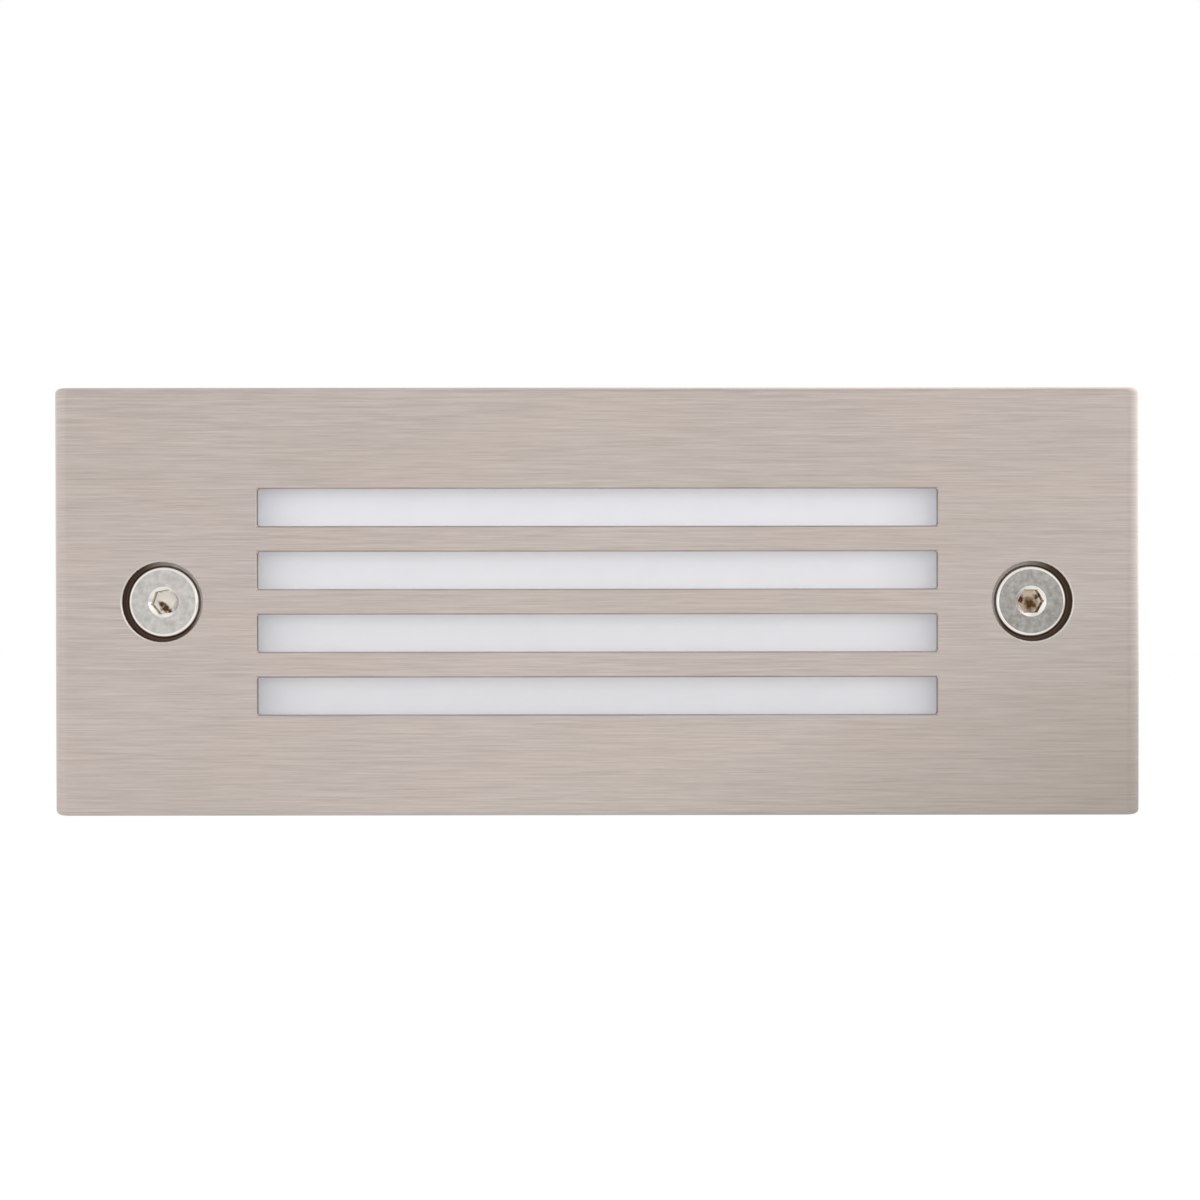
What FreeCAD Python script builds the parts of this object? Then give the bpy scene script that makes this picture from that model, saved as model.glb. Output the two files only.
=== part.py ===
import FreeCAD, Part
import math
import os
import re
import Sketcher

# A recessed step light with a brick-size stainless face. X runs along the face, Z is up and
# Y runs into the wall. The origin is the middle of the face on the wall's surface, so the
# face stands out towards -Y and the box lies in the wall towards +Y. Sizes are in mm.

os.makedirs("parts", exist_ok=True)
doc = FreeCAD.newDocument("step_light")

# the driving dimensions
SIZES = {
    # face plate
    "plate_length": 234,
    "plate_height": 92,
    "plate_depth": 6,
    "sheet_thickness": 2,
    "end_bend_radius": 3.5,
    "rim_radius": 1.2,
    "slot_margin_x": 44,
    "slot_height": 8,
    "slot_margin_z": 21.75,
    "slot_count": 4,
    # cover screws, the cups that they sit in and their inserts
    "screw_inset": 23.6,
    "head_clearance": 0.9,
    "screw_diameter": 8,
    "screw_length": 30,
    "screw_sink": 1.6,
    "head_diameter": 15.4,
    "head_rim": 0.6,
    "head_chamfer": 0.4,
    "socket_width": 5,
    "socket_mouth": 6.5,
    "socket_depth": 3,
    "left_socket_turn": 11,
    "seat_clearance": 0.15,
    "cup_wall": 2.2,
    "cup_step": 2.3,
    "cup_spigot_wall": 2.4,
    "cup_length": 5.8,
    "shank_clearance": 0.4,
    "cup_clearance": 0.3,
    "boss_gap": 0.2,
    "boss_wall": 2.5,
    "boss_length": 28,
    "insert_wall": 1.4,
    "insert_length": 15,
    "insert_sink": 2,
    "thread_clearance": 0.05,
    "boss_bore_clearance": 0.5,
    "boss_end_wall": 2,
    # recess box
    "plate_overlap_x": 13,
    "plate_overlap_z": 9,
    "box_depth": 75,
    "box_wall": 2.5,
    "box_taper": 3,
    "box_corner_radius": 6,
    "flange_lip_x": 3,
    "flange_lip_z": 4,
    "flange_thickness": 1.5,
    "rib_height": 2,
    "rib_width": 1.6,
    "rib_start": 26,
    "rib_pitch": 26,
    "post_diameter": 9,
    "post_offset_x": 6,
    "post_offset_z": 6,
    "post_bore_depth": 12,
    "web_thickness": 2,
    "fixing_hole": 4.5,
    "fixing_inset": 29,
    "drain_hole": 5,
    "drain_place": 52,
    # gaskets
    "gasket_margin": 1.5,
    "gasket_corner_radius": 4,
    "lens_gasket_thickness": 1,
    "lens_gasket_width": 5,
    # lamp module
    "window_margin_x": 2,
    "window_margin_z": 2.25,
    "window_radius": 2,
    "frame_lip": 1.4,
    "frame_depth": 3.4,
    "frame_ear_thickness": 1.5,
    "housing_wall_x": 2.3,
    "housing_wall_z": 1.8,
    "housing_radius": 5,
    "housing_depth": 24.6,
    "housing_floor": 3,
    "floor_skin": 0.4,
    "seal_ledge_x": 4.5,
    "seal_ledge_z": 3.5,
    "ear_thickness": 4,
    "seal_reach_x": 3.5,
    "seal_reach_z": 3.5,
    "seal_depth": 6,
    "seal_wall": 2,
    "seal_lip": 1,
    "seal_window_trim": 1,
    "seat_gap": 0.2,
    "diffuser_thickness": 4,
    "reflector_wall": 1,
    "reflector_clearance": 0.5,
    "reflector_slope_x": 13.5,
    "reflector_slope_z": 8,
    "reflector_start": 0.3,
    "board_margin_x": 8,
    "board_margin_z": 4,
    "board_thickness": 1.6,
    "pad_thickness": 0.5,
    "led_width": 3.5,
    "led_thickness": 0.7,
    "led_pitch_x": 18,
    "led_pitch_z": 16,
    "board_screw_inset": 11.5,
    "small_screw_diameter": 3,
    "small_head_diameter": 5.6,
    "small_head_height": 1.9,
    "board_screw_length": 3.6,
    "module_screw_length": 16,
    "small_socket_width": 2,
    "small_socket_depth": 1.1,
    "small_clearance": 0.2,
    "grommet_inset": 4,
    "grommet_hole": 5.6,
    "grommet_collar": 7.4,
    "grommet_lip": 0.8,
    "grommet_bore": 4.8,
    # driver and wiring on the module's back
    "driver_gap_left": 3,
    "driver_gap_right": 15,
    "driver_height": 38,
    "driver_thickness": 22,
    "driver_radius": 3,
    "tab_length": 9,
    "tab_thickness": 2,
    "tab_width": 16,
    "tab_screw_length": 4.4,
    "terminal_length": 20,
    "terminal_thickness": 15,
    "terminal_inset": 5,
    "terminal_radius": 1,
    "terminal_end_wall": 1,
    "pole_pitch": 8,
    "clamp_width": 5,
    "clamp_inset": 2.5,
    "clamp_height": 7,
    "clamp_bore": 3.4,
    "clamp_depth": 2.5,
    "clamp_screw": 3.6,
    "clamp_screw_length": 2.3,
    "clamp_radius": 0.5,
    "clamp_wire_depth": 5,
    "lead_diameter": 1.4,
    "mains_lead_diameter": 2.2,
    "led_lead_spacing": 2.4,
    "led_lead_rise": 3.6,
    "solder_inset": 1.5,
    "lead_lift": 5.5,
    "lead_run_out": 4.35,
    "lead_climb": 5.05,
    "live_lead_place": 0,
    "neutral_lead_place": -5.6,
    "earth_offset": 7,
    "earth_gap": 3,
    "tag_thickness": 0.8,
    "tag_diameter": 8,
    "tag_rise": 2.6,
    "crimp_length": 3.2,
    # cable entries
    "gland_place": 42,
    "gland_thread": 20,
    "gland_bore": 12,
    "gland_width": 24,
    "gland_nut_length": 5,
    "gland_inside_length": 9,
    "gland_neck_length": 9,
    "gland_neck_diameter": 18,
    "gland_neck_wall": 1.25,
    "cap_hex_length": 9,
    "cap_dome_length": 6,
    "cap_slope": 2,
    "cap_lip": 1.5,
    "gland_cap_mouth": 11,
    "cable_bore": 9,
    "locknut_thickness": 4,
    "locknut_width": 25,
    "hole_clearance": 0.2,
    "plug_place": 52,
    "plug_hole": 20,
    "plug_collar": 25,
    "plug_collar_thickness": 2,
    "plug_wall": 1.8,
    "plug_depth": 6,
}

# sizes that follow from others, so that what fits together stays together
FITS = {
    "inner_bend_radius": "end_bend_radius - sheet_thickness",
    "screw_spacing": "plate_length - 2 * screw_inset",
    "screw_hole": "head_diameter + 2 * head_clearance",
    "cup_diameter": "screw_hole + 2 * cup_wall",
    "cup_hole": "screw_diameter + 2 * shank_clearance",
    "cup_spigot_diameter": "cup_hole + 2 * cup_spigot_wall",
    "insert_bore": "screw_diameter + 2 * thread_clearance",
    "insert_diameter": "insert_bore + 2 * insert_wall",
    "boss_diameter": "insert_diameter + 2 * boss_wall",
    "boss_bore": "screw_diameter + 2 * boss_bore_clearance",
    "box_length": "plate_length - 2 * plate_overlap_x",
    "box_height": "plate_height - 2 * plate_overlap_z",
    "flange_length": "box_length + 2 * flange_lip_x",
    "flange_height": "box_height + 2 * flange_lip_z",
    "fixing_spacing": "box_length - 2 * fixing_inset",
    "gasket_inner_length": "box_length - 2 * box_wall - 2 * gasket_margin",
    "gasket_inner_height": "box_height - 2 * box_wall - 2 * gasket_margin",
    "slot_length": "plate_length - 2 * slot_margin_x",
    "slots_height": "plate_height - 2 * slot_margin_z",
    "slot_pitch": "(slots_height - slot_height) / (slot_count - 1)",
    "window_length": "slot_length + 2 * window_margin_x",
    "window_height": "slots_height + 2 * window_margin_z",
    "lens_gasket_length": "window_length + 2 * lens_gasket_width",
    "lens_gasket_height": "window_height + 2 * lens_gasket_width",
    "seal_length": "window_length + 2 * seal_reach_x",
    "seal_height": "window_height + 2 * seal_reach_z",
    "cavity_length": "seal_length - 2 * seal_ledge_x",
    "cavity_height": "seal_height - 2 * seal_ledge_z",
    "housing_length": "seal_length + 2 * seat_gap + 2 * housing_wall_x",
    "housing_height": "seal_height + 2 * seat_gap + 2 * housing_wall_z",
    "post_spacing_x": "housing_length + 2 * post_offset_x",
    "post_spacing_z": "housing_height - 2 * post_offset_z",
    "reflector_length": "cavity_length - 2 * reflector_clearance",
    "reflector_height": "cavity_height - 2 * reflector_clearance",
    "reflector_back_length": "reflector_length - 2 * reflector_slope_x",
    "reflector_back_height": "reflector_height - 2 * reflector_slope_z",
    "board_length": "cavity_length - 2 * board_margin_x",
    "board_height": "cavity_height - 2 * board_margin_z",
    "board_screw_spacing": "board_length - 2 * board_screw_inset",
    "grommet_place": "cavity_length / 2 - grommet_inset",
    "terminal_shift": "housing_length / 2 - terminal_inset - terminal_length / 2",
    "terminal_height": "3 * pole_pitch + 2 * terminal_end_wall",
    "terminal_side": "terminal_shift - terminal_length / 2",
    "driver_left": "driver_gap_left + tab_length - terminal_side",
    "driver_right": "grommet_place - driver_gap_right - tab_length",
    "driver_length": "driver_right - driver_left",
    "driver_shift": "(driver_right + driver_left) / 2",
    "earth_place_x": "terminal_side - earth_offset",
    "earth_place_z": "driver_height / 2 + tag_diameter / 2 + earth_gap",
    "clamp_length": "terminal_length - 2 * clamp_inset",
    "small_hole": "small_screw_diameter + 2 * small_clearance",
    "tapped_hole": "small_screw_diameter + 2 * thread_clearance",
}

sheet = doc.addObject("Spreadsheet::Sheet", "dims")
for row, (name, number) in enumerate(SIZES.items(), start=1):
    sheet.set(f"A{row}", name)
    sheet.set(f"B{row}", str(number))
    sheet.setAlias(f"B{row}", name)
doc.recompute()
now = {name: float(sheet.get(name)) for name in SIZES}
WORD = re.compile(r"[a-z_][a-z0-9_]*")
LED_COLUMNS = 6
LED_ROWS = 2
LEAD_SIDES = 8
PAST = 1  # how far a cut runs past the surface that it opens


def spell_out(text):
    """The formula with the sizes that follow from others written in driving dimensions."""
    return WORD.sub(
        lambda hit: f"({spell_out(FITS[hit[0]])})" if hit[0] in FITS else hit[0], text
    )


def formula(text):
    """The formula with each driving dimension's name as a reference to its cell."""
    return WORD.sub(
        lambda hit: "dims." + hit[0] if hit[0] in SIZES else hit[0], spell_out(text)
    )


def value(text):
    """What the formula gives now, for a sketch's first drawing."""
    numbers = WORD.sub(lambda hit: f"({now[hit[0]]})" if hit[0] in now else hit[0], text)
    return FreeCAD.Units.Quantity(numbers).Value


for name, text in FITS.items():
    now[name] = value(text)


def bind(thing, **sizes):
    for name, text in sizes.items():
        thing.setExpression(name, formula(text))


# --- levels along Y, from the front to the back ---
FACE = "(0 - plate_depth)"
SHEET_BACK = "(sheet_thickness - plate_depth)"
FLANGE_FRONT = "(0 - flange_thickness)"
LENS_FRONT = f"({SHEET_BACK} + lens_gasket_thickness)"
FRAME_BACK = f"({LENS_FRONT} + frame_depth)"
SEAL_FRONT = f"({LENS_FRONT} + frame_lip)"
SEAL_BACK = f"({SEAL_FRONT} + seal_depth)"
DIFFUSER_FRONT = f"({SEAL_FRONT} + seal_lip)"
POST_FRONT = f"({FRAME_BACK} + ear_thickness)"
HOUSING_BACK = f"({FRAME_BACK} + housing_depth)"
HOUSING_FLOOR = f"({HOUSING_BACK} - housing_floor)"
BOARD_BACK = f"({HOUSING_FLOOR} - pad_thickness)"
BOARD_FRONT = f"({BOARD_BACK} - board_thickness)"
HEAD_TOP = f"({FACE} + screw_sink)"
HEAD_CONE = f"({HEAD_TOP} + head_rim)"
CONE_END = f"({HEAD_CONE} + head_diameter / 2 - screw_diameter / 2)"
CUP_END = f"({SHEET_BACK} + cup_length)"
BOSS_FRONT = f"({CUP_END} + boss_gap)"
BOX_FLOOR = "(box_depth - box_wall)"
PLATE_X = "(plate_length / 2)"
SCREW_X = "(screw_spacing / 2)"


# --- sketches ---
def sketch_on(body, name, role, lift="0", right="0", up="0", turn=0.0):
    """A sketch on one of the body's own origin planes."""
    sketch = body.newObject("Sketcher::SketchObject", name)
    plane = next(part for part in body.Origin.OriginFeatures if part.Role == role)
    sketch.AttachmentSupport = [(plane, "")]
    sketch.MapMode = "FlatFace"
    spin = FreeCAD.Rotation(FreeCAD.Vector(0, 0, 1), turn)
    sketch.AttachmentOffset = FreeCAD.Placement(FreeCAD.Vector(), spin)
    sketch.setExpression("AttachmentOffset.Base.x", formula(right))
    sketch.setExpression("AttachmentOffset.Base.y", formula(up))
    sketch.setExpression("AttachmentOffset.Base.z", formula(lift))
    return sketch


def front_sketch(body, name, y, x="0", z="0", turn=0.0):
    """Seen from the front: X to the right, Z up, at the level y."""
    return sketch_on(body, name, "XZ_Plane", lift=f"0 - {y}", right=x, up=z, turn=turn)


def pin(sketch, element, point, u, v):
    """Hold one point of a sketch by its two distances from the sketch's origin."""
    across = sketch.addConstraint(
        Sketcher.Constraint("DistanceX", -1, 1, element, point, value(u))
    )
    sketch.setExpression(f"Constraints[{across}]", formula(u))
    along = sketch.addConstraint(
        Sketcher.Constraint("DistanceY", -1, 1, element, point, value(v))
    )
    sketch.setExpression(f"Constraints[{along}]", formula(v))


def draw_polygon(sketch, corners):
    points = [FreeCAD.Vector(value(u), value(v), 0) for u, v in corners]
    count = len(points)
    lines = []
    for place in range(count):
        side = Part.LineSegment(points[place], points[(place + 1) % count])
        lines.append(sketch.addGeometry(side))
    for place in range(count):
        following = lines[(place + 1) % count]
        sketch.addConstraint(Sketcher.Constraint("Coincident", lines[place], 2, following, 1))
    for line, (u, v) in zip(lines, corners):
        pin(sketch, line, 1, u, v)


def draw_circle(sketch, diameter, u="0", v="0"):
    centre = FreeCAD.Vector(value(u), value(v), 0)
    round_line = Part.Circle(centre, FreeCAD.Vector(0, 0, 1), value(diameter) / 2)
    circle = sketch.addGeometry(round_line)
    pin(sketch, circle, 3, u, v)
    width = sketch.addConstraint(Sketcher.Constraint("Diameter", circle, value(diameter)))
    sketch.setExpression(f"Constraints[{width}]", formula(diameter))


def draw_round_box(sketch, length, height, radius):
    """A rectangle about the sketch's origin with four equal round corners."""
    corner = value(radius)
    reach_u = value(length) / 2 - corner
    reach_v = value(height) / 2 - corner
    up = FreeCAD.Vector(0, 0, 1)
    signs = [(1, 1), (-1, 1), (-1, -1), (1, -1)]
    arcs = []
    for quarter, (side_u, side_v) in enumerate(signs):
        centre = FreeCAD.Vector(side_u * reach_u, side_v * reach_v, 0)
        start = quarter * math.pi / 2
        bend = Part.ArcOfCircle(Part.Circle(centre, up, corner), start, start + math.pi / 2)
        arcs.append(sketch.addGeometry(bend))
    for quarter in range(4):
        this_arc = sketch.Geometry[arcs[quarter]]
        next_arc = sketch.Geometry[arcs[(quarter + 1) % 4]]
        side = sketch.addGeometry(Part.LineSegment(this_arc.EndPoint, next_arc.StartPoint))
        sketch.addConstraint(Sketcher.Constraint("Tangent", side, 1, arcs[quarter], 2))
        sketch.addConstraint(Sketcher.Constraint("Tangent", side, 2, arcs[(quarter + 1) % 4], 1))
    for arc, (side_u, side_v) in zip(arcs, signs):
        centre_u = f"{side_u} * (({length}) / 2 - ({radius}))"
        centre_v = f"{side_v} * (({height}) / 2 - ({radius}))"
        pin(sketch, arc, 3, centre_u, centre_v)
    bend = sketch.addConstraint(Sketcher.Constraint("Radius", arcs[0], corner))
    sketch.setExpression(f"Constraints[{bend}]", formula(radius))
    for arc in arcs[1:]:
        sketch.addConstraint(Sketcher.Constraint("Equal", arcs[0], arc))


# --- features ---
def new_body(name):
    body = doc.addObject("PartDesign::Body", name)
    body.Label = name
    return body


def pad(body, sketch, length):
    """Material from a front sketch towards the wall."""
    feature = body.newObject("PartDesign::Pad", sketch.Name + "_pad")
    feature.Profile = sketch
    feature.Reversed = True
    feature.setExpression("Length", formula(length))
    return feature


def pocket(body, sketch, length, reverse=False):
    """A cut from a front sketch towards the wall."""
    feature = body.newObject("PartDesign::Pocket", sketch.Name + "_cut")
    feature.Profile = sketch
    feature.Reversed = reverse
    feature.setExpression("Length", formula(length))
    return feature


def revolve(body, kind, name, corners, x="0", z="0"):
    """Turn a profile of (radius, y) corners about an axis along Y through x and z."""
    sketch = sketch_on(body, name, "XY_Plane", lift=z, right=x)
    draw_polygon(sketch, corners)
    feature = body.newObject(kind, name + "_turn")
    feature.Profile = sketch
    feature.ReferenceAxis = (sketch, ["V_Axis"])
    feature.Angle = 360
    return feature


def turned(name, corners, x="0", z="0"):
    """A round piece by itself."""
    body = new_body(name)
    revolve(body, "PartDesign::Revolution", name + "_profile", corners, x, z)
    return body


def round_block(name, length, height, radius, y, depth, x="0", z="0"):
    """A body that starts as a block with round corners."""
    body = new_body(name)
    sketch = front_sketch(body, name + "_outline", y, x, z)
    draw_round_box(sketch, length, height, radius)
    pad(body, sketch, depth)
    return body


def edge_names(shape, wanted):
    return [f"Edge{place + 1}" for place, edge in enumerate(shape.Edges) if wanted(edge)]


def hexagon(sketch, width):
    """Two corners up and down, flats to the left and right."""
    point = f"({width}) / sqrt(3)"
    half_point = f"({width}) / (2 * sqrt(3))"
    flat = f"({width}) / 2"
    draw_polygon(sketch, [
        (flat, half_point),
        ("0", point),
        (f"0 - {flat}", half_point),
        (f"0 - {flat}", f"0 - {half_point}"),
        ("0", f"0 - {point}"),
        (flat, f"0 - {half_point}"),
    ])


def ring_corners(outer, inner, start, end):
    """Profile of a plain ring between two levels."""
    return [
        (f"({inner}) / 2", start),
        (f"({outer}) / 2", start),
        (f"({outer}) / 2", end),
        (f"({inner}) / 2", end),
    ]


# --- face plate: folded sheet with bent ends, four slots and two screw holes ---
def make_face_plate():
    body = new_body("face_plate")
    section = sketch_on(body, "face_section", "XY_Plane")
    draw_section(section, PLATE_X, FACE, "0", "end_bend_radius")
    shell = body.newObject("PartDesign::Pad", "face_block")
    shell.Profile = section
    shell.Midplane = True
    bind(shell, Length="plate_height")
    doc.recompute()
    top = now["plate_height"] / 2 - 0.01
    back = -0.01

    def on_front_rim(edge):
        box = edge.BoundBox
        flat = box.ZLength < 0.01 and abs(box.ZMax) > top
        return flat and box.YMin < back

    rim = body.newObject("PartDesign::Fillet", "face_rim")
    rim.Base = (shell, edge_names(shell.Shape, on_front_rim))
    bind(rim, Radius="rim_radius")
    hollow = sketch_on(body, "hollow_section", "XY_Plane")
    draw_section(hollow, f"({PLATE_X} - sheet_thickness)", SHEET_BACK, f"{PAST}", "inner_bend_radius")
    inside = body.newObject("PartDesign::Pocket", "face_hollow")
    inside.Profile = hollow
    inside.Midplane = True
    bind(inside, Length="plate_height - 2 * sheet_thickness")
    holes = front_sketch(body, "screw_holes", FACE)
    for side in ("-1", "1"):
        draw_circle(holes, "screw_hole", f"{side} * {SCREW_X}")
    pocket(body, holes, "sheet_thickness")
    lowest = "(0 - slot_pitch * (slot_count - 1) / 2)"
    slot = front_sketch(body, "lowest_slot", FACE)
    draw_polygon(slot, [
        ("0 - slot_length / 2", f"{lowest} - slot_height / 2"),
        ("slot_length / 2", f"{lowest} - slot_height / 2"),
        ("slot_length / 2", f"{lowest} + slot_height / 2"),
        ("0 - slot_length / 2", f"{lowest} + slot_height / 2"),
    ])
    first = pocket(body, slot, "sheet_thickness")
    rows = body.newObject("PartDesign::LinearPattern", "slots")
    rows.Originals = [first]
    rows.Direction = (slot, ["V_Axis"])
    bind(rows, Length="slot_pitch * (slot_count - 1)", Occurrences="slot_count")
    body.Tip = rows
    return body


def draw_section(sketch, reach, front, back, radius):
    """The sheet's long section: straight back, bent round at both ends towards the front."""
    end_u = value(reach)
    front_v = value(front)
    back_v = value(back)
    bend = value(radius)
    up = FreeCAD.Vector(0, 0, 1)
    right_centre = FreeCAD.Vector(end_u - bend, front_v + bend, 0)
    left_centre = FreeCAD.Vector(bend - end_u, front_v + bend, 0)
    right = sketch.addGeometry(
        Part.ArcOfCircle(Part.Circle(right_centre, up, bend), 1.5 * math.pi, 2 * math.pi)
    )
    left = sketch.addGeometry(
        Part.ArcOfCircle(Part.Circle(left_centre, up, bend), math.pi, 1.5 * math.pi)
    )
    corners = [
        FreeCAD.Vector(end_u, front_v + bend, 0),
        FreeCAD.Vector(end_u, back_v, 0),
        FreeCAD.Vector(-end_u, back_v, 0),
        FreeCAD.Vector(-end_u, front_v + bend, 0),
    ]
    right_side = sketch.addGeometry(Part.LineSegment(corners[0], corners[1]))
    base = sketch.addGeometry(Part.LineSegment(corners[1], corners[2]))
    left_side = sketch.addGeometry(Part.LineSegment(corners[2], corners[3]))
    face = sketch.addGeometry(
        Part.LineSegment(
            FreeCAD.Vector(bend - end_u, front_v, 0), FreeCAD.Vector(end_u - bend, front_v, 0)
        )
    )
    sketch.addConstraint(Sketcher.Constraint("Tangent", face, 2, right, 1))
    sketch.addConstraint(Sketcher.Constraint("Tangent", right, 2, right_side, 1))
    sketch.addConstraint(Sketcher.Constraint("Coincident", right_side, 2, base, 1))
    sketch.addConstraint(Sketcher.Constraint("Coincident", base, 2, left_side, 1))
    sketch.addConstraint(Sketcher.Constraint("Tangent", left_side, 2, left, 1))
    sketch.addConstraint(Sketcher.Constraint("Tangent", left, 2, face, 1))
    pin(sketch, right_side, 2, reach, back)
    pin(sketch, left_side, 1, f"0 - {reach}", back)
    pin(sketch, right, 3, f"{reach} - {radius}", f"{front} + {radius}")
    pin(sketch, left, 3, f"{radius} - {reach}", f"{front} + {radius}")
    for arc in (right, left):
        width = sketch.addConstraint(Sketcher.Constraint("Radius", arc, bend))
        sketch.setExpression(f"Constraints[{width}]", formula(radius))


# --- cups, cover screws and inserts, one set on each side ---
def make_screw_set(side, sign, socket_turn):
    x = f"{sign} * {SCREW_X}"
    seat = "(head_diameter / 2 + seat_clearance)"
    hole = "cup_hole / 2"
    step = f"({SHEET_BACK} + cup_step)"
    turned(f"screw_cup_{side}", [
        ("screw_hole / 2", SHEET_BACK),
        ("cup_diameter / 2", SHEET_BACK),
        ("cup_diameter / 2", step),
        ("cup_spigot_diameter / 2", step),
        ("cup_spigot_diameter / 2", CUP_END),
        (hole, CUP_END),
        (hole, f"{HEAD_CONE} + {seat} - {hole}"),
        (seat, HEAD_CONE),
        ("screw_hole / 2", HEAD_CONE),
    ], x)
    screw = turned(f"cover_screw_{side}", [
        ("0", HEAD_TOP),
        ("head_diameter / 2 - head_chamfer", HEAD_TOP),
        ("head_diameter / 2", f"{HEAD_TOP} + head_chamfer"),
        ("head_diameter / 2", HEAD_CONE),
        ("screw_diameter / 2", CONE_END),
        ("screw_diameter / 2", f"{HEAD_TOP} + screw_length - head_chamfer * 2"),
        ("screw_diameter / 2 - head_chamfer * 2", f"{HEAD_TOP} + screw_length"),
        ("0", f"{HEAD_TOP} + screw_length"),
    ], x)
    socket = front_sketch(screw, f"socket_{side}", HEAD_TOP, x, turn=socket_turn)
    hexagon(socket, "socket_width")
    pocket(screw, socket, "socket_depth")
    mouth_drop = f"({HEAD_TOP} + (socket_mouth - socket_width) / 2)"
    revolve(screw, "PartDesign::Groove", f"mouth_{side}", [
        ("0", HEAD_TOP),
        ("socket_mouth / 2", HEAD_TOP),
        ("socket_width / 2", mouth_drop),
        ("0", mouth_drop),
    ], x)
    insert_start = f"({BOSS_FRONT} + insert_sink)"
    turned(f"insert_{side}", ring_corners(
        "insert_diameter - 2 * thread_clearance",
        "insert_bore",
        insert_start,
        f"{insert_start} + insert_length",
    ), x)


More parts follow.
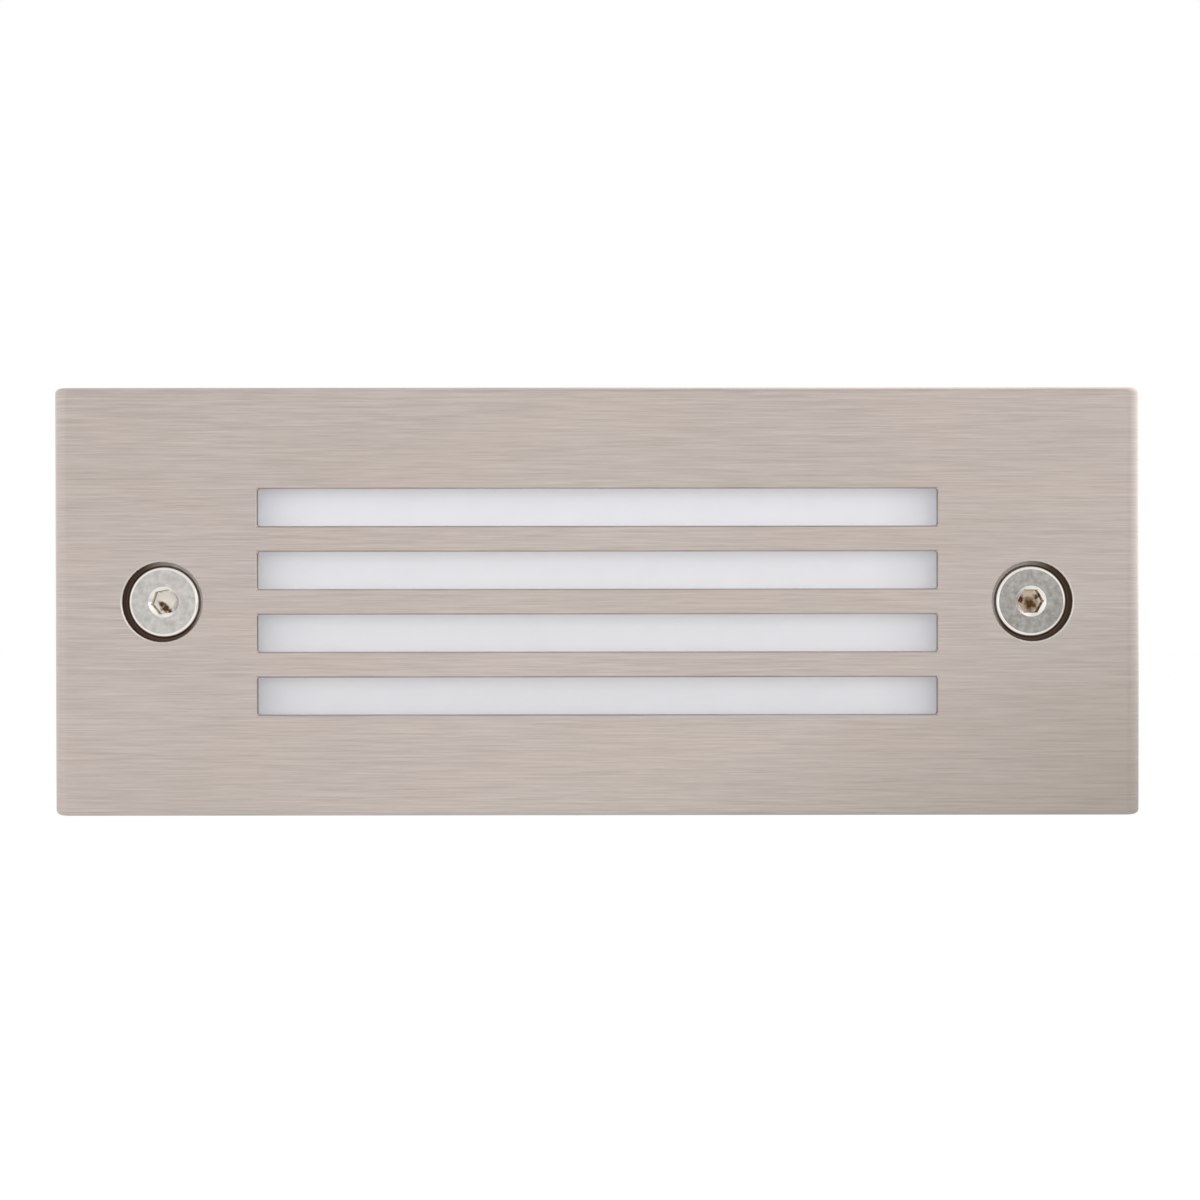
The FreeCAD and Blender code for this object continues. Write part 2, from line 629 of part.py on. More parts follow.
# --- recess box: tapered moulded tub with flange, ribs, bosses and posts ---
def make_recess_box():
    body = new_body("recess_box")
    flange = front_sketch(body, "flange", FLANGE_FRONT)
    draw_round_box(flange, "flange_length", "flange_height", "box_corner_radius + box_wall")
    pad(body, flange, "flange_thickness")
    mouth = front_sketch(body, "tub_mouth", "0")
    draw_round_box(mouth, "box_length", "box_height", "box_corner_radius")
    end = front_sketch(body, "tub_end", "box_depth")
    draw_round_box(
        end,
        "box_length - 2 * box_taper",
        "box_height - 2 * box_taper",
        "box_corner_radius",
    )
    tub = body.newObject("PartDesign::AdditiveLoft", "tub")
    tub.Profile = mouth
    tub.Sections = [end]
    tub.Ruled = True
    rib = front_sketch(body, "first_rib", "rib_start")
    draw_round_box(
        rib,
        "box_length - box_taper + 2 * rib_height",
        "box_height - box_taper + 2 * rib_height",
        "box_corner_radius + rib_height",
    )
    first = pad(body, rib, "rib_width")
    ribs = body.newObject("PartDesign::LinearPattern", "ribs")
    ribs.Originals = [first]
    ribs.Direction = (mouth, ["N_Axis"])
    ribs.Reversed = True
    bind(ribs, Length="rib_pitch", Occurrences="2")
    opening = front_sketch(body, "opening", FLANGE_FRONT)
    inner_length = "box_length - 2 * box_wall"
    inner_height = "box_height - 2 * box_wall"
    inner_radius = "box_corner_radius - box_wall"
    draw_round_box(opening, inner_length, inner_height, inner_radius)
    pocket(body, opening, "flange_thickness")
    inner_mouth = front_sketch(body, "inner_mouth", "0")
    draw_round_box(inner_mouth, inner_length, inner_height, inner_radius)
    inner_end = front_sketch(body, "inner_end", BOX_FLOOR)
    draw_round_box(
        inner_end,
        f"{inner_length} - 2 * box_taper * {BOX_FLOOR} / box_depth",
        f"{inner_height} - 2 * box_taper * {BOX_FLOOR} / box_depth",
        inner_radius,
    )
    inside = body.newObject("PartDesign::SubtractiveLoft", "inside")
    inside.Profile = inner_mouth
    inside.Sections = [inner_end]
    inside.Ruled = True
    for side, sign in (("left", "-1"), ("right", "1")):
        centre = f"{sign} * {SCREW_X}"
        boss = front_sketch(body, f"boss_{side}", BOSS_FRONT, centre)
        draw_circle(boss, "boss_diameter")
        pad(body, boss, "boss_length")
        link = front_sketch(body, f"boss_link_{side}", BOSS_FRONT, centre)
        wall = f"{sign} * (box_length / 2 - box_wall / 2 - box_taper / 2 - {SCREW_X})"
        draw_polygon(link, [
            ("0", "0 - boss_diameter / 4"),
            (wall, "0 - boss_diameter / 4"),
            (wall, "boss_diameter / 4"),
            ("0", "boss_diameter / 4"),
        ])
        pad(body, link, "boss_length")
    for place in range(4):
        x, z = corner_place(place)
        post = front_sketch(body, f"post_{place + 1}", POST_FRONT, x, z)
        draw_circle(post, "post_diameter")
        pad(body, post, f"{BOX_FLOOR} - {POST_FRONT} + box_wall / 2")
        web = front_sketch(body, f"web_{place + 1}", POST_FRONT, x, z)
        up = corner_signs(place)[1]
        reach = f"{up} * (box_height / 2 - box_taper - box_wall / 2 - post_spacing_z / 2)"
        draw_polygon(web, [
            ("0 - web_thickness / 2", "0"),
            ("web_thickness / 2", "0"),
            ("web_thickness / 2", reach),
            ("0 - web_thickness / 2", reach),
        ])
        pad(body, web, f"{BOX_FLOOR} - {POST_FRONT} + box_wall / 2")
    for side, sign in (("left", "-1"), ("right", "1")):
        centre = f"{sign} * {SCREW_X}"
        insert_hole = front_sketch(body, f"insert_hole_{side}", BOSS_FRONT, centre)
        draw_circle(insert_hole, "insert_diameter")
        pocket(body, insert_hole, "insert_sink + insert_length")
        bore = front_sketch(body, f"boss_bore_{side}", BOSS_FRONT, centre)
        draw_circle(bore, "boss_bore")
        pocket(body, bore, "boss_length - boss_end_wall")
    for place in range(4):
        x, z = corner_place(place)
        bore = front_sketch(body, f"post_bore_{place + 1}", POST_FRONT, x, z)
        draw_circle(bore, "tapped_hole")
        pocket(body, bore, "post_bore_depth")
    floor_holes = front_sketch(body, "floor_holes", BOX_FLOOR)
    for side in ("-1", "1"):
        draw_circle(floor_holes, "fixing_hole", f"{side} * fixing_spacing / 2")
    draw_circle(floor_holes, "gland_thread + hole_clearance", "0 - gland_place")
    pocket(body, floor_holes, f"box_wall + {PAST}")
    drain = sketch_on(body, "drain", "XY_Plane", lift=f"0 - box_height / 2 - {PAST}")
    draw_circle(drain, "drain_hole", "0", "drain_place")
    pocket(body, drain, f"box_wall + box_taper + 2 * {PAST}", reverse=True)
    side_hole = sketch_on(body, "side_hole", "YZ_Plane", lift=f"box_length / 2 + {PAST}")
    draw_circle(side_hole, "plug_hole + hole_clearance", "plug_place", "0")
    pocket(body, side_hole, f"box_wall + box_taper + 2 * {PAST}")
    return body


def corner_signs(place):
    return (("-1", "1"), ("1", "1"), ("-1", "-1"), ("1", "-1"))[place]


def corner_place(place):
    """Where the module's four screws stand: upper left, upper right, lower left, lower right."""
    side, up = corner_signs(place)
    return f"{side} * post_spacing_x / 2", f"{up} * post_spacing_z / 2"


# --- gaskets on the face's back ---
def make_gaskets():
    depth = f"({FLANGE_FRONT} - {SHEET_BACK})"
    gasket = round_block(
        "face_gasket",
        "flange_length",
        "flange_height",
        "box_corner_radius + box_wall",
        SHEET_BACK,
        depth,
    )
    inner = front_sketch(gasket, "face_gasket_inner", SHEET_BACK)
    draw_round_box(inner, "gasket_inner_length", "gasket_inner_height", "gasket_corner_radius")
    pocket(gasket, inner, depth)
    for side, sign in (("left", "-1"), ("right", "1")):
        notch = front_sketch(gasket, f"notch_{side}", SHEET_BACK, f"{sign} * {SCREW_X}")
        draw_circle(notch, "cup_diameter + 2 * cup_clearance")
        pocket(gasket, notch, depth)
    lens_gasket = round_block(
        "lens_gasket",
        "lens_gasket_length",
        "lens_gasket_height",
        "gasket_corner_radius",
        SHEET_BACK,
        "lens_gasket_thickness",
    )
    window = front_sketch(lens_gasket, "lens_gasket_window", SHEET_BACK)
    draw_round_box(window, "window_length", "window_height", "window_radius")
    pocket(lens_gasket, window, "lens_gasket_thickness")


# --- lamp module: frame, seal, diffuser and cast housing ---
def add_ears(body, name, y, depth):
    """Four ears for the module's screws, each with a bridge to the body."""
    for place in range(4):
        x, z = corner_place(place)
        side = corner_signs(place)[0]
        ear = front_sketch(body, f"{name}_ear_{place + 1}", y, x, z)
        draw_circle(ear, "post_diameter")
        pad(body, ear, depth)
        bridge = front_sketch(body, f"{name}_bridge_{place + 1}", y, x, z)
        inward = f"0 - {side} * (post_offset_x + housing_wall_x - seat_gap)"
        draw_polygon(bridge, [
            ("0", "0 - post_diameter / 2"),
            (inward, "0 - post_diameter / 2"),
            (inward, "post_diameter / 2"),
            ("0", "post_diameter / 2"),
        ])
        pad(body, bridge, depth)


def cut_ear_holes(body, name, y, depth):
    for place in range(4):
        x, z = corner_place(place)
        bore = front_sketch(body, f"{name}_hole_{place + 1}", y, x, z)
        draw_circle(bore, "small_hole")
        pocket(body, bore, depth)


def make_lens_frame():
    ear_front = f"({FRAME_BACK} - frame_ear_thickness)"
    body = round_block(
        "lens_frame",
        "housing_length",
        "housing_height",
        "housing_radius",
        LENS_FRONT,
        "frame_depth",
    )
    add_ears(body, "frame", ear_front, "frame_ear_thickness")
    window = front_sketch(body, "frame_window", LENS_FRONT)
    draw_round_box(window, "window_length", "window_height", "window_radius")
    pocket(body, window, "frame_depth")
    seat = front_sketch(body, "frame_seat", SEAL_FRONT)
    draw_round_box(
        seat,
        "seal_length + 2 * seat_gap",
        "seal_height + 2 * seat_gap",
        "gasket_corner_radius",
    )
    pocket(body, seat, f"{FRAME_BACK} - {SEAL_FRONT}")
    cut_ear_holes(body, "frame", ear_front, "frame_ear_thickness")


def make_lamp_housing():
    body = round_block(
        "lamp_housing",
        "housing_length",
        "housing_height",
        "housing_radius",
        FRAME_BACK,
        "housing_depth",
    )
    add_ears(body, "housing", FRAME_BACK, "ear_thickness")
    cavity = front_sketch(body, "housing_cavity", FRAME_BACK)
    draw_round_box(cavity, "cavity_length", "cavity_height", "window_radius")
    pocket(body, cavity, f"{HOUSING_FLOOR} - {FRAME_BACK}")
    seat = front_sketch(body, "housing_seat", FRAME_BACK)
    draw_round_box(
        seat,
        "seal_length + 2 * seat_gap",
        "seal_height + 2 * seat_gap",
        "gasket_corner_radius",
    )
    pocket(body, seat, f"{SEAL_BACK} - {FRAME_BACK}")
    cut_ear_holes(body, "housing", FRAME_BACK, "ear_thickness")
    holes = front_sketch(body, "housing_floor_holes", HOUSING_FLOOR)
    for side in ("-1", "1"):
        place = f"{side} * board_screw_spacing / 2"
        draw_circle(holes, "tapped_hole", place)
    draw_circle(holes, "grommet_hole + 2 * thread_clearance", "grommet_place")
    pocket(body, holes, "housing_floor")
    back_holes = front_sketch(body, "housing_back_holes", HOUSING_BACK)
    for x, z in tab_screw_places():
        draw_circle(back_holes, "tapped_hole", x, z)
    pocket(body, back_holes, "housing_floor - floor_skin", reverse=True)


def tab_screw_places():
    """The driver's two screws and the earth screw, on the housing's back."""
    reach = "(driver_length / 2 + tab_length / 2)"
    return [
        (f"driver_shift - {reach}", "0"),
        (f"driver_shift + {reach}", "0"),
        ("0 - earth_place_x", "earth_place_z"),
    ]


def make_diffuser_and_seal():
    seal = round_block(
        "diffuser_seal",
        "seal_length",
        "seal_height",
        "gasket_corner_radius",
        SEAL_FRONT,
        "seal_depth",
    )
    window = front_sketch(seal, "seal_window", SEAL_FRONT)
    draw_round_box(
        window,
        "window_length - seal_window_trim",
        "window_height - seal_window_trim",
        "window_radius",
    )
    pocket(seal, window, "seal_depth")
    groove = front_sketch(seal, "seal_groove", DIFFUSER_FRONT)
    draw_round_box(
        groove,
        "seal_length - 2 * seal_wall",
        "seal_height - 2 * seal_wall",
        "gasket_corner_radius",
    )
    pocket(seal, groove, "seal_depth - 2 * seal_lip")
    round_block(
        "diffuser",
        "seal_length - 2 * seal_wall",
        "seal_height - 2 * seal_wall",
        "gasket_corner_radius",
        DIFFUSER_FRONT,
        "diffuser_thickness",
    )


def make_reflector():
    front = f"({SEAL_BACK} + reflector_start)"
    body = new_body("reflector")
    rim = front_sketch(body, "reflector_rim", front)
    draw_round_box(rim, "reflector_length", "reflector_height", "window_radius")
    foot = front_sketch(body, "reflector_foot", BOARD_FRONT)
    draw_round_box(foot, "reflector_back_length", "reflector_back_height", "window_radius")
    tray = body.newObject("PartDesign::AdditiveLoft", "reflector_tray")
    tray.Profile = rim
    tray.Sections = [foot]
    tray.Ruled = True
    inner_rim = front_sketch(body, "reflector_inner_rim", front)
    draw_round_box(
        inner_rim,
        "reflector_length - 2 * reflector_wall",
        "reflector_height - 2 * reflector_wall",
        "window_radius",
    )
    inner_foot = front_sketch(body, "reflector_inner_foot", BOARD_FRONT)
    draw_round_box(
        inner_foot,
        "reflector_back_length - 2 * reflector_wall",
        "reflector_back_height - 2 * reflector_wall",
        "window_radius",
    )
    bore = body.newObject("PartDesign::SubtractiveLoft", "reflector_bore")
    bore.Profile = inner_rim
    bore.Sections = [inner_foot]
    bore.Ruled = True


def make_board():
    layers = (
        ("led_board", BOARD_FRONT, "board_thickness"),
        ("thermal_pad", BOARD_BACK, "pad_thickness"),
    )
    for name, y, depth in layers:
        layer = round_block(name, "board_length", "board_height", "window_radius", y, depth)
        holes = front_sketch(layer, f"{name}_holes", y)
        for side in ("-1", "1"):
            draw_circle(holes, "small_hole", f"{side} * board_screw_spacing / 2")
        pocket(layer, holes, depth)
    led_front = f"({BOARD_FRONT} - led_thickness)"
    for place in range(LED_COLUMNS * LED_ROWS):
        across = place % LED_COLUMNS - (LED_COLUMNS - 1) / 2
        up = place // LED_COLUMNS - (LED_ROWS - 1) / 2
        chip = doc.addObject("Part::Box", f"led_chip_{place + 1}")
        chip.Label = f"led_chip_{place + 1}"
        bind(chip, Length="led_width", Width="led_thickness", Height="led_width")
        chip.setExpression(
            "Placement.Base.x", formula(f"{across} * led_pitch_x - led_width / 2")
        )
        chip.setExpression("Placement.Base.y", formula(led_front))
        chip.setExpression(
            "Placement.Base.z", formula(f"{up} * led_pitch_z - led_width / 2")
        )


def make_small_screw(name, x, z, seat, length, outward="-1"):
    """A round-head screw with a hexagon socket, its head on the seat and its tip the other way."""
    top = f"({seat} + {outward} * small_head_height)"
    tip = f"({seat} - {outward} * ({length}))"
    body = turned(name, [
        ("0", top),
        ("small_head_diameter / 2", top),
        ("small_head_diameter / 2", seat),
        ("small_screw_diameter / 2", seat),
        ("small_screw_diameter / 2", tip),
        ("0", tip),
    ], x, z)
    socket = front_sketch(body, f"{name}_socket", top, x, z)
    hexagon(socket, "small_socket_width")
    pocket(body, socket, "small_socket_depth", reverse=outward == "1")


def make_small_screws():
    ear_front = f"({FRAME_BACK} - frame_ear_thickness)"
    for place in range(4):
        x, z = corner_place(place)
        make_small_screw(f"module_screw_{place + 1}", x, z, ear_front, "module_screw_length")
    for side, sign in (("left", "-1"), ("right", "1")):
        x = f"{sign} * board_screw_spacing / 2"
        make_small_screw(f"board_screw_{side}", x, "0", BOARD_FRONT, "board_screw_length")
    tab_back = f"({HOUSING_BACK} + tab_thickness)"
    places = tab_screw_places()
    for side, (x, z) in zip(("left", "right"), places):
        make_small_screw(f"driver_screw_{side}", x, z, tab_back, "tab_screw_length", "1")
    x, z = places[2]
    tag_back = f"({HOUSING_BACK} + tag_thickness)"
    make_small_screw("earth_screw", x, z, tag_back, "tag_thickness + housing_floor / 2", "1")


# --- driver, terminal block and wiring on the housing's back ---
def make_driver():
    body = round_block(
        "driver",
        "driver_length",
        "driver_height",
        "driver_radius",
        HOUSING_BACK,
        "driver_thickness",
        "driver_shift",
    )
    for side, sign in (("left", "-1"), ("right", "1")):
        tab = front_sketch(body, f"driver_tab_{side}", HOUSING_BACK, "driver_shift")
        start = f"{sign} * (driver_length / 2 - driver_radius)"
        end = f"{sign} * (driver_length / 2 + tab_length)"
        draw_polygon(tab, [
            (start, "0 - tab_width / 2"),
            (end, "0 - tab_width / 2"),
            (end, "tab_width / 2"),
            (start, "tab_width / 2"),
        ])
        pad(body, tab, "tab_thickness")
    holes = front_sketch(body, "driver_tab_holes", HOUSING_BACK)
    for x, z in tab_screw_places()[:2]:
        draw_circle(holes, "small_hole", x, z)
    pocket(body, holes, "tab_thickness")


def pole_place(pole):
    return f"({pole} * pole_pitch)"


def make_terminal_block():
    x = "0 - terminal_shift"
    clamp_y = f"({HOUSING_BACK} + clamp_depth)"
    body = round_block(
        "terminal_block",
        "terminal_length",
        "terminal_height",
        "terminal_radius",
        HOUSING_BACK,
        "terminal_thickness",
        x,
    )
    for place, pole in enumerate(("-1", "0", "1")):
        name = f"terminal_clamp_{place + 1}"
        shaft = front_sketch(body, f"{name}_shaft", f"({clamp_y} + clamp_height)", x, pole_place(pole))
        draw_circle(shaft, "clamp_screw + 2 * small_clearance")
        pocket(body, shaft, "terminal_thickness - clamp_depth - clamp_height")
        room = sketch_on(
            body, f"{name}_room", "YZ_Plane", lift="0 - terminal_shift + terminal_length / 2"
        )
        low = f"{pole_place(pole)} - clamp_width / 2 - thread_clearance"
        high = f"{pole_place(pole)} + clamp_width / 2 + thread_clearance"
        draw_polygon(room, [
            (clamp_y, low),
            (f"{clamp_y} + clamp_height", low),
            (f"{clamp_y} + clamp_height", high),
            (clamp_y, high),
        ])
        pocket(body, room, "terminal_length")
        make_clamp(name, x, pole, clamp_y)


def make_clamp(name, x, pole, clamp_y):
    """Brass clamp: a square block bored along X for the wire, with a screw from the back."""
    clamp = new_body(name)
    block = front_sketch(clamp, f"{name}_block", clamp_y, x, pole_place(pole))
    draw_round_box(block, "clamp_length", "clamp_width", "clamp_radius")
    pad(clamp, block, "clamp_height")
    screw = front_sketch(clamp, f"{name}_screw", f"({clamp_y} + clamp_height)", x, pole_place(pole))
    draw_circle(screw, "clamp_screw")
    pad(clamp, screw, "clamp_screw_length")
    wire = sketch_on(
        clamp, f"{name}_wire", "YZ_Plane", lift="0 - terminal_shift + clamp_length / 2"
    )
    draw_circle(wire, "clamp_bore", f"{clamp_y} + clamp_height / 2", pole_place(pole))
    pocket(clamp, wire, "clamp_length")


def make_earth_tag():
    x, z = tab_screw_places()[2]
    tag = new_body("earth_tag")
    ring = front_sketch(tag, "tag_ring", HOUSING_BACK, x, z)
    draw_circle(ring, "tag_diameter")
    pad(tag, ring, "tag_thickness")
    tongue = front_sketch(tag, "tag_tongue", HOUSING_BACK, x, z)
    draw_polygon(tongue, [
        ("0 - tag_diameter / 4", "0"),
        ("0 - tag_diameter / 4", "0 - tag_diameter"),
        ("tag_diameter / 4", "0 - tag_diameter"),
        ("tag_diameter / 4", "0"),
    ])
    pad(tag, tongue, "tag_thickness")
    rise = front_sketch(tag, "tag_rise", HOUSING_BACK, x, z)
    draw_polygon(rise, [
        ("0 - tag_diameter / 4", "tag_thickness - tag_diameter"),
        ("0 - tag_diameter / 4", "0 - tag_diameter"),
        ("tag_diameter / 4", "0 - tag_diameter"),
        ("tag_diameter / 4", "tag_thickness - tag_diameter"),
    ])
    pad(tag, rise, "tag_rise + mains_lead_diameter / 2")
    hole = front_sketch(tag, "tag_hole", HOUSING_BACK, x, z)
    draw_circle(hole, "small_hole")
    pocket(tag, hole, "tag_thickness")


def make_grommet():
    outer = "grommet_hole"
    front = f"({HOUSING_FLOOR} - grommet_lip)"
    back = f"({HOUSING_BACK} + grommet_lip)"
    turned("lead_grommet", [
        ("grommet_bore / 2", front),
        ("grommet_collar / 2", front),
        ("grommet_collar / 2", HOUSING_FLOOR),
        (f"{outer} / 2", HOUSING_FLOOR),
        (f"{outer} / 2", HOUSING_BACK),
        ("grommet_collar / 2", HOUSING_BACK),
        ("grommet_collar / 2", back),
        ("grommet_bore / 2", back),
    ], "grommet_place")


def make_lead(name, diameter, route):
    """A lead along straight runs with tangent arcs, as large as each pair of runs allows."""
    points = [FreeCAD.Vector(value(x), value(y), value(z)) for x, y, z in route]
    edges = []
    last = points[0]
    radii = []
    for before, corner, after in zip(points, points[1:], points[2:]):
        coming = (corner - before).normalize()
        going = (after - corner).normalize()
        turn = coming.getAngle(going)
        shorter = min((corner - before).Length, (after - corner).Length)
        cut = 0.45 * shorter
        radius = cut / math.tan(turn / 2)
        radii.append(round(radius, 2))
        start = corner - coming * cut
        end = corner + going * cut
        inward = (going - coming).normalize()
        middle = corner + inward * (radius / math.cos(turn / 2) - radius)
        edges.append(Part.LineSegment(last, start).toShape())
        edges.append(Part.Arc(start, middle, end).toShape())
        last = end
    edges.append(Part.LineSegment(last, points[-1]).toShape())
    path = Part.Wire(edges)
    direction = (points[1] - points[0]).normalize()
    turn = FreeCAD.Rotation(FreeCAD.Vector(0, 0, 1), direction)
    corners = []
    for step in range(LEAD_SIDES + 1):
        angle = 2 * math.pi * step / LEAD_SIDES
        spoke = FreeCAD.Vector(math.cos(angle), math.sin(angle), 0) * (value(diameter) / 2)
        corners.append(points[0] + turn.multVec(spoke))
    section = Part.makePolygon(corners)
    lead = doc.addObject("Part::Feature", name)
    lead.Label = name
    lead.Shape = path.makePipeShell([section], True, False)
    expected = Part.Face(section).Area * path.Length
    print(name, "radii", radii, "volume ratio", round(lead.Shape.Volume / expected, 4))


def make_leads():
    solder = "(board_length / 2 - solder_inset)"
    through = "grommet_place"
    driver_end = "(driver_shift + driver_length / 2)"
    for name, sign in (("led_lead_plus", "1"), ("led_lead_minus", "-1")):
        z = f"({sign} * led_lead_spacing / 2)"
        make_lead(name, "lead_diameter", [
            (solder, BOARD_FRONT, z),
            (solder, f"{BOARD_FRONT} - led_lead_rise", z),
            (through, f"{BOARD_FRONT} - led_lead_rise", z),
            (through, f"{HOUSING_BACK} + driver_thickness / 2", z),
            (driver_end, f"{HOUSING_BACK} + driver_thickness / 2", z),
        ])
    clamp_end = "(0 - terminal_shift + terminal_length / 2 - (terminal_length - clamp_length) / 2)"
    driver_start = "(driver_shift - driver_length / 2)"
    wire_y = f"({HOUSING_BACK} + clamp_depth + clamp_height / 2)"
    inside_clamp = f"({clamp_end} - clamp_wire_depth)"
    for name, pole, driver_side in (
        ("live_lead", "0", "live_lead_place"),
        ("neutral_lead", "-1", "neutral_lead_place"),
    ):
        make_lead(name, "mains_lead_diameter", [
            (inside_clamp, wire_y, pole_place(pole)),
            (f"{clamp_end} + lead_run_out", wire_y, pole_place(pole)),
            (f"{clamp_end} + lead_run_out + lead_climb", f"{wire_y} + lead_lift", driver_side),
            (driver_start, f"{wire_y} + lead_lift", driver_side),
        ])
    tag_y = f"({HOUSING_BACK} + tag_rise)"
    make_lead("earth_lead", "mains_lead_diameter", [
        (inside_clamp, wire_y, pole_place("1")),
        ("0 - earth_place_x", wire_y, pole_place("1")),
        ("0 - earth_place_x", tag_y, "(earth_place_z - tag_diameter - crimp_length)"),
        ("0 - earth_place_x", tag_y, "(earth_place_z - tag_diameter)"),
    ])


# --- cable entries: gland in the floor and a plug in the right end ---
def make_gland():
    x = "0 - gland_place"
    hex_end = "(box_depth + gland_nut_length)"
    neck_end = f"({hex_end} + gland_neck_length)"
    body = new_body("gland_body")
    nut = front_sketch(body, "gland_nut_outline", "box_depth", x)
    hexagon(nut, "gland_width")
    pad(body, nut, "gland_nut_length")
    tail = "(box_depth - gland_inside_length)"
    thread = front_sketch(body, "gland_thread_outline", tail, x)
    draw_circle(thread, "gland_thread")
    pad(body, thread, "gland_inside_length")
    neck = front_sketch(body, "gland_neck_outline", hex_end, x)
    draw_circle(neck, "gland_neck_diameter")
    pad(body, neck, "gland_neck_length")
    bore = front_sketch(body, "gland_through", tail, x)
    draw_circle(bore, "gland_bore")
    pocket(body, bore, "gland_inside_length + gland_nut_length + gland_neck_length")
    seat = front_sketch(body, "gland_seat", hex_end, x)
    draw_circle(seat, "gland_neck_diameter - 2 * gland_neck_wall")
    pocket(body, seat, "gland_neck_length")
    turned("gland_seal", ring_corners(
        "gland_neck_diameter - 2 * gland_neck_wall",
        "cable_bore",
        hex_end,
        f"{neck_end} + hole_clearance",
    ), x)
    cap_start = f"({hex_end} + hole_clearance)"
    cap = new_body("gland_nut")
    cap_hex = front_sketch(cap, "cap_hex", cap_start, x)
    hexagon(cap_hex, "gland_width")
    pad(cap, cap_hex, "cap_hex_length")
    dome_start = f"({cap_start} + cap_hex_length)"
    cap_end = f"({dome_start} + cap_dome_length)"
    revolve(cap, "PartDesign::Revolution", "cap_dome", [
        ("0", dome_start),
        ("gland_width / 2", dome_start),
        ("gland_width / 2 - cap_slope / 2", f"{cap_end} - cap_slope"),
        ("gland_cap_mouth / 2 + cap_lip", cap_end),
        ("0", cap_end),
    ], x)
    revolve(cap, "PartDesign::Groove", "cap_bore", [
        ("0", cap_start),
        ("gland_neck_diameter / 2 + thread_clearance", cap_start),
        ("gland_neck_diameter / 2 + thread_clearance", f"{neck_end} + hole_clearance"),
        ("gland_cap_mouth / 2", f"{neck_end} + hole_clearance + cap_lip"),
        ("gland_cap_mouth / 2", cap_end),
        ("0", cap_end),
    ], x)
    nut_start = f"({BOX_FLOOR} - locknut_thickness)"
    locknut = new_body("gland_locknut")
    outline = front_sketch(locknut, "locknut_outline", nut_start, x)
    hexagon(outline, "locknut_width")
    pad(locknut, outline, "locknut_thickness")
    inner = front_sketch(locknut, "locknut_bore", nut_start, x)
    draw_circle(inner, "gland_thread + 2 * thread_clearance")
    pocket(locknut, inner, "locknut_thickness")


def make_side_plug():
    """A cap in the right end's spare entry: collar outside, open cup inside."""
    wall_x = "(box_length / 2 - box_taper * (plug_place - plug_collar / 2) / box_depth)"
    plug = new_body("side_entry_plug")
    collar = sketch_on(plug, "plug_collar_outline", "YZ_Plane", lift=wall_x)
    draw_circle(collar, "plug_collar", "plug_place", "0")
    flange = plug.newObject("PartDesign::Pad", "plug_collar_pad")
    flange.Profile = collar
    bind(flange, Length="plug_collar_thickness")
    stem = sketch_on(plug, "plug_stem", "YZ_Plane", lift=wall_x)
    draw_circle(stem, "plug_hole", "plug_place", "0")
    neck = plug.newObject("PartDesign::Pad", "plug_stem_pad")
    neck.Profile = stem
    neck.Reversed = True
    bind(neck, Length="plug_depth")
    room = sketch_on(plug, "plug_room", "YZ_Plane", lift=f"({wall_x} - plug_depth)")
    draw_circle(room, "plug_hole - 2 * plug_wall", "plug_place", "0")
    pocket(plug, room, "plug_depth", reverse=True)


make_face_plate()
for side, sign, socket_turn in (("left", "-1", now["left_socket_turn"]), ("right", "1", 0.0)):
    make_screw_set(side, sign, socket_turn)
make_recess_box()
make_gaskets()
make_lens_frame()
make_lamp_housing()
make_diffuser_and_seal()
make_reflector()
make_board()
make_small_screws()
make_driver()
make_terminal_block()
make_earth_tag()
make_grommet()
make_leads()
make_gland()
make_side_plug()
doc.recompute()

# --- check every object, then write each sub-part ---
for thing in doc.Objects:
    if "Invalid" in thing.State or "Error" in thing.State:
        raise RuntimeError(f"{thing.Name} failed: {thing.State}")

PIECES = ("PartDesign::Body", "Part::Feature", "Part::Box")
for piece in doc.Objects:
    if piece.TypeId not in PIECES or piece.getParentGeoFeatureGroup() is not None:
        continue
    shape = piece.Shape
    if shape.isNull() or not shape.isValid() or len(shape.Solids) != 1:
        raise RuntimeError(f"{piece.Label} is not one valid solid")
    shape.exportStep(f"parts/{piece.Label}.step")
    print(piece.Label, round(shape.Volume, 1))
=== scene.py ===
# %% [markdown]
# # A step light in brushed stainless steel
# This light is let into a wall beside a stair. All that is seen of it is a folded face plate with four long
# slots, two sunk screws and a white diffuser behind the slots. The CAD model brings every part at its real
# place, in metres, so this script makes no big shapes: it gives each part its finish, rounds the edges that
# catch the light, and adds what a CAD solid leaves out. The first cell loads the parts and can measure the
# box of each.

import math

import bmesh
import bpy
from mathutils import Matrix, Vector


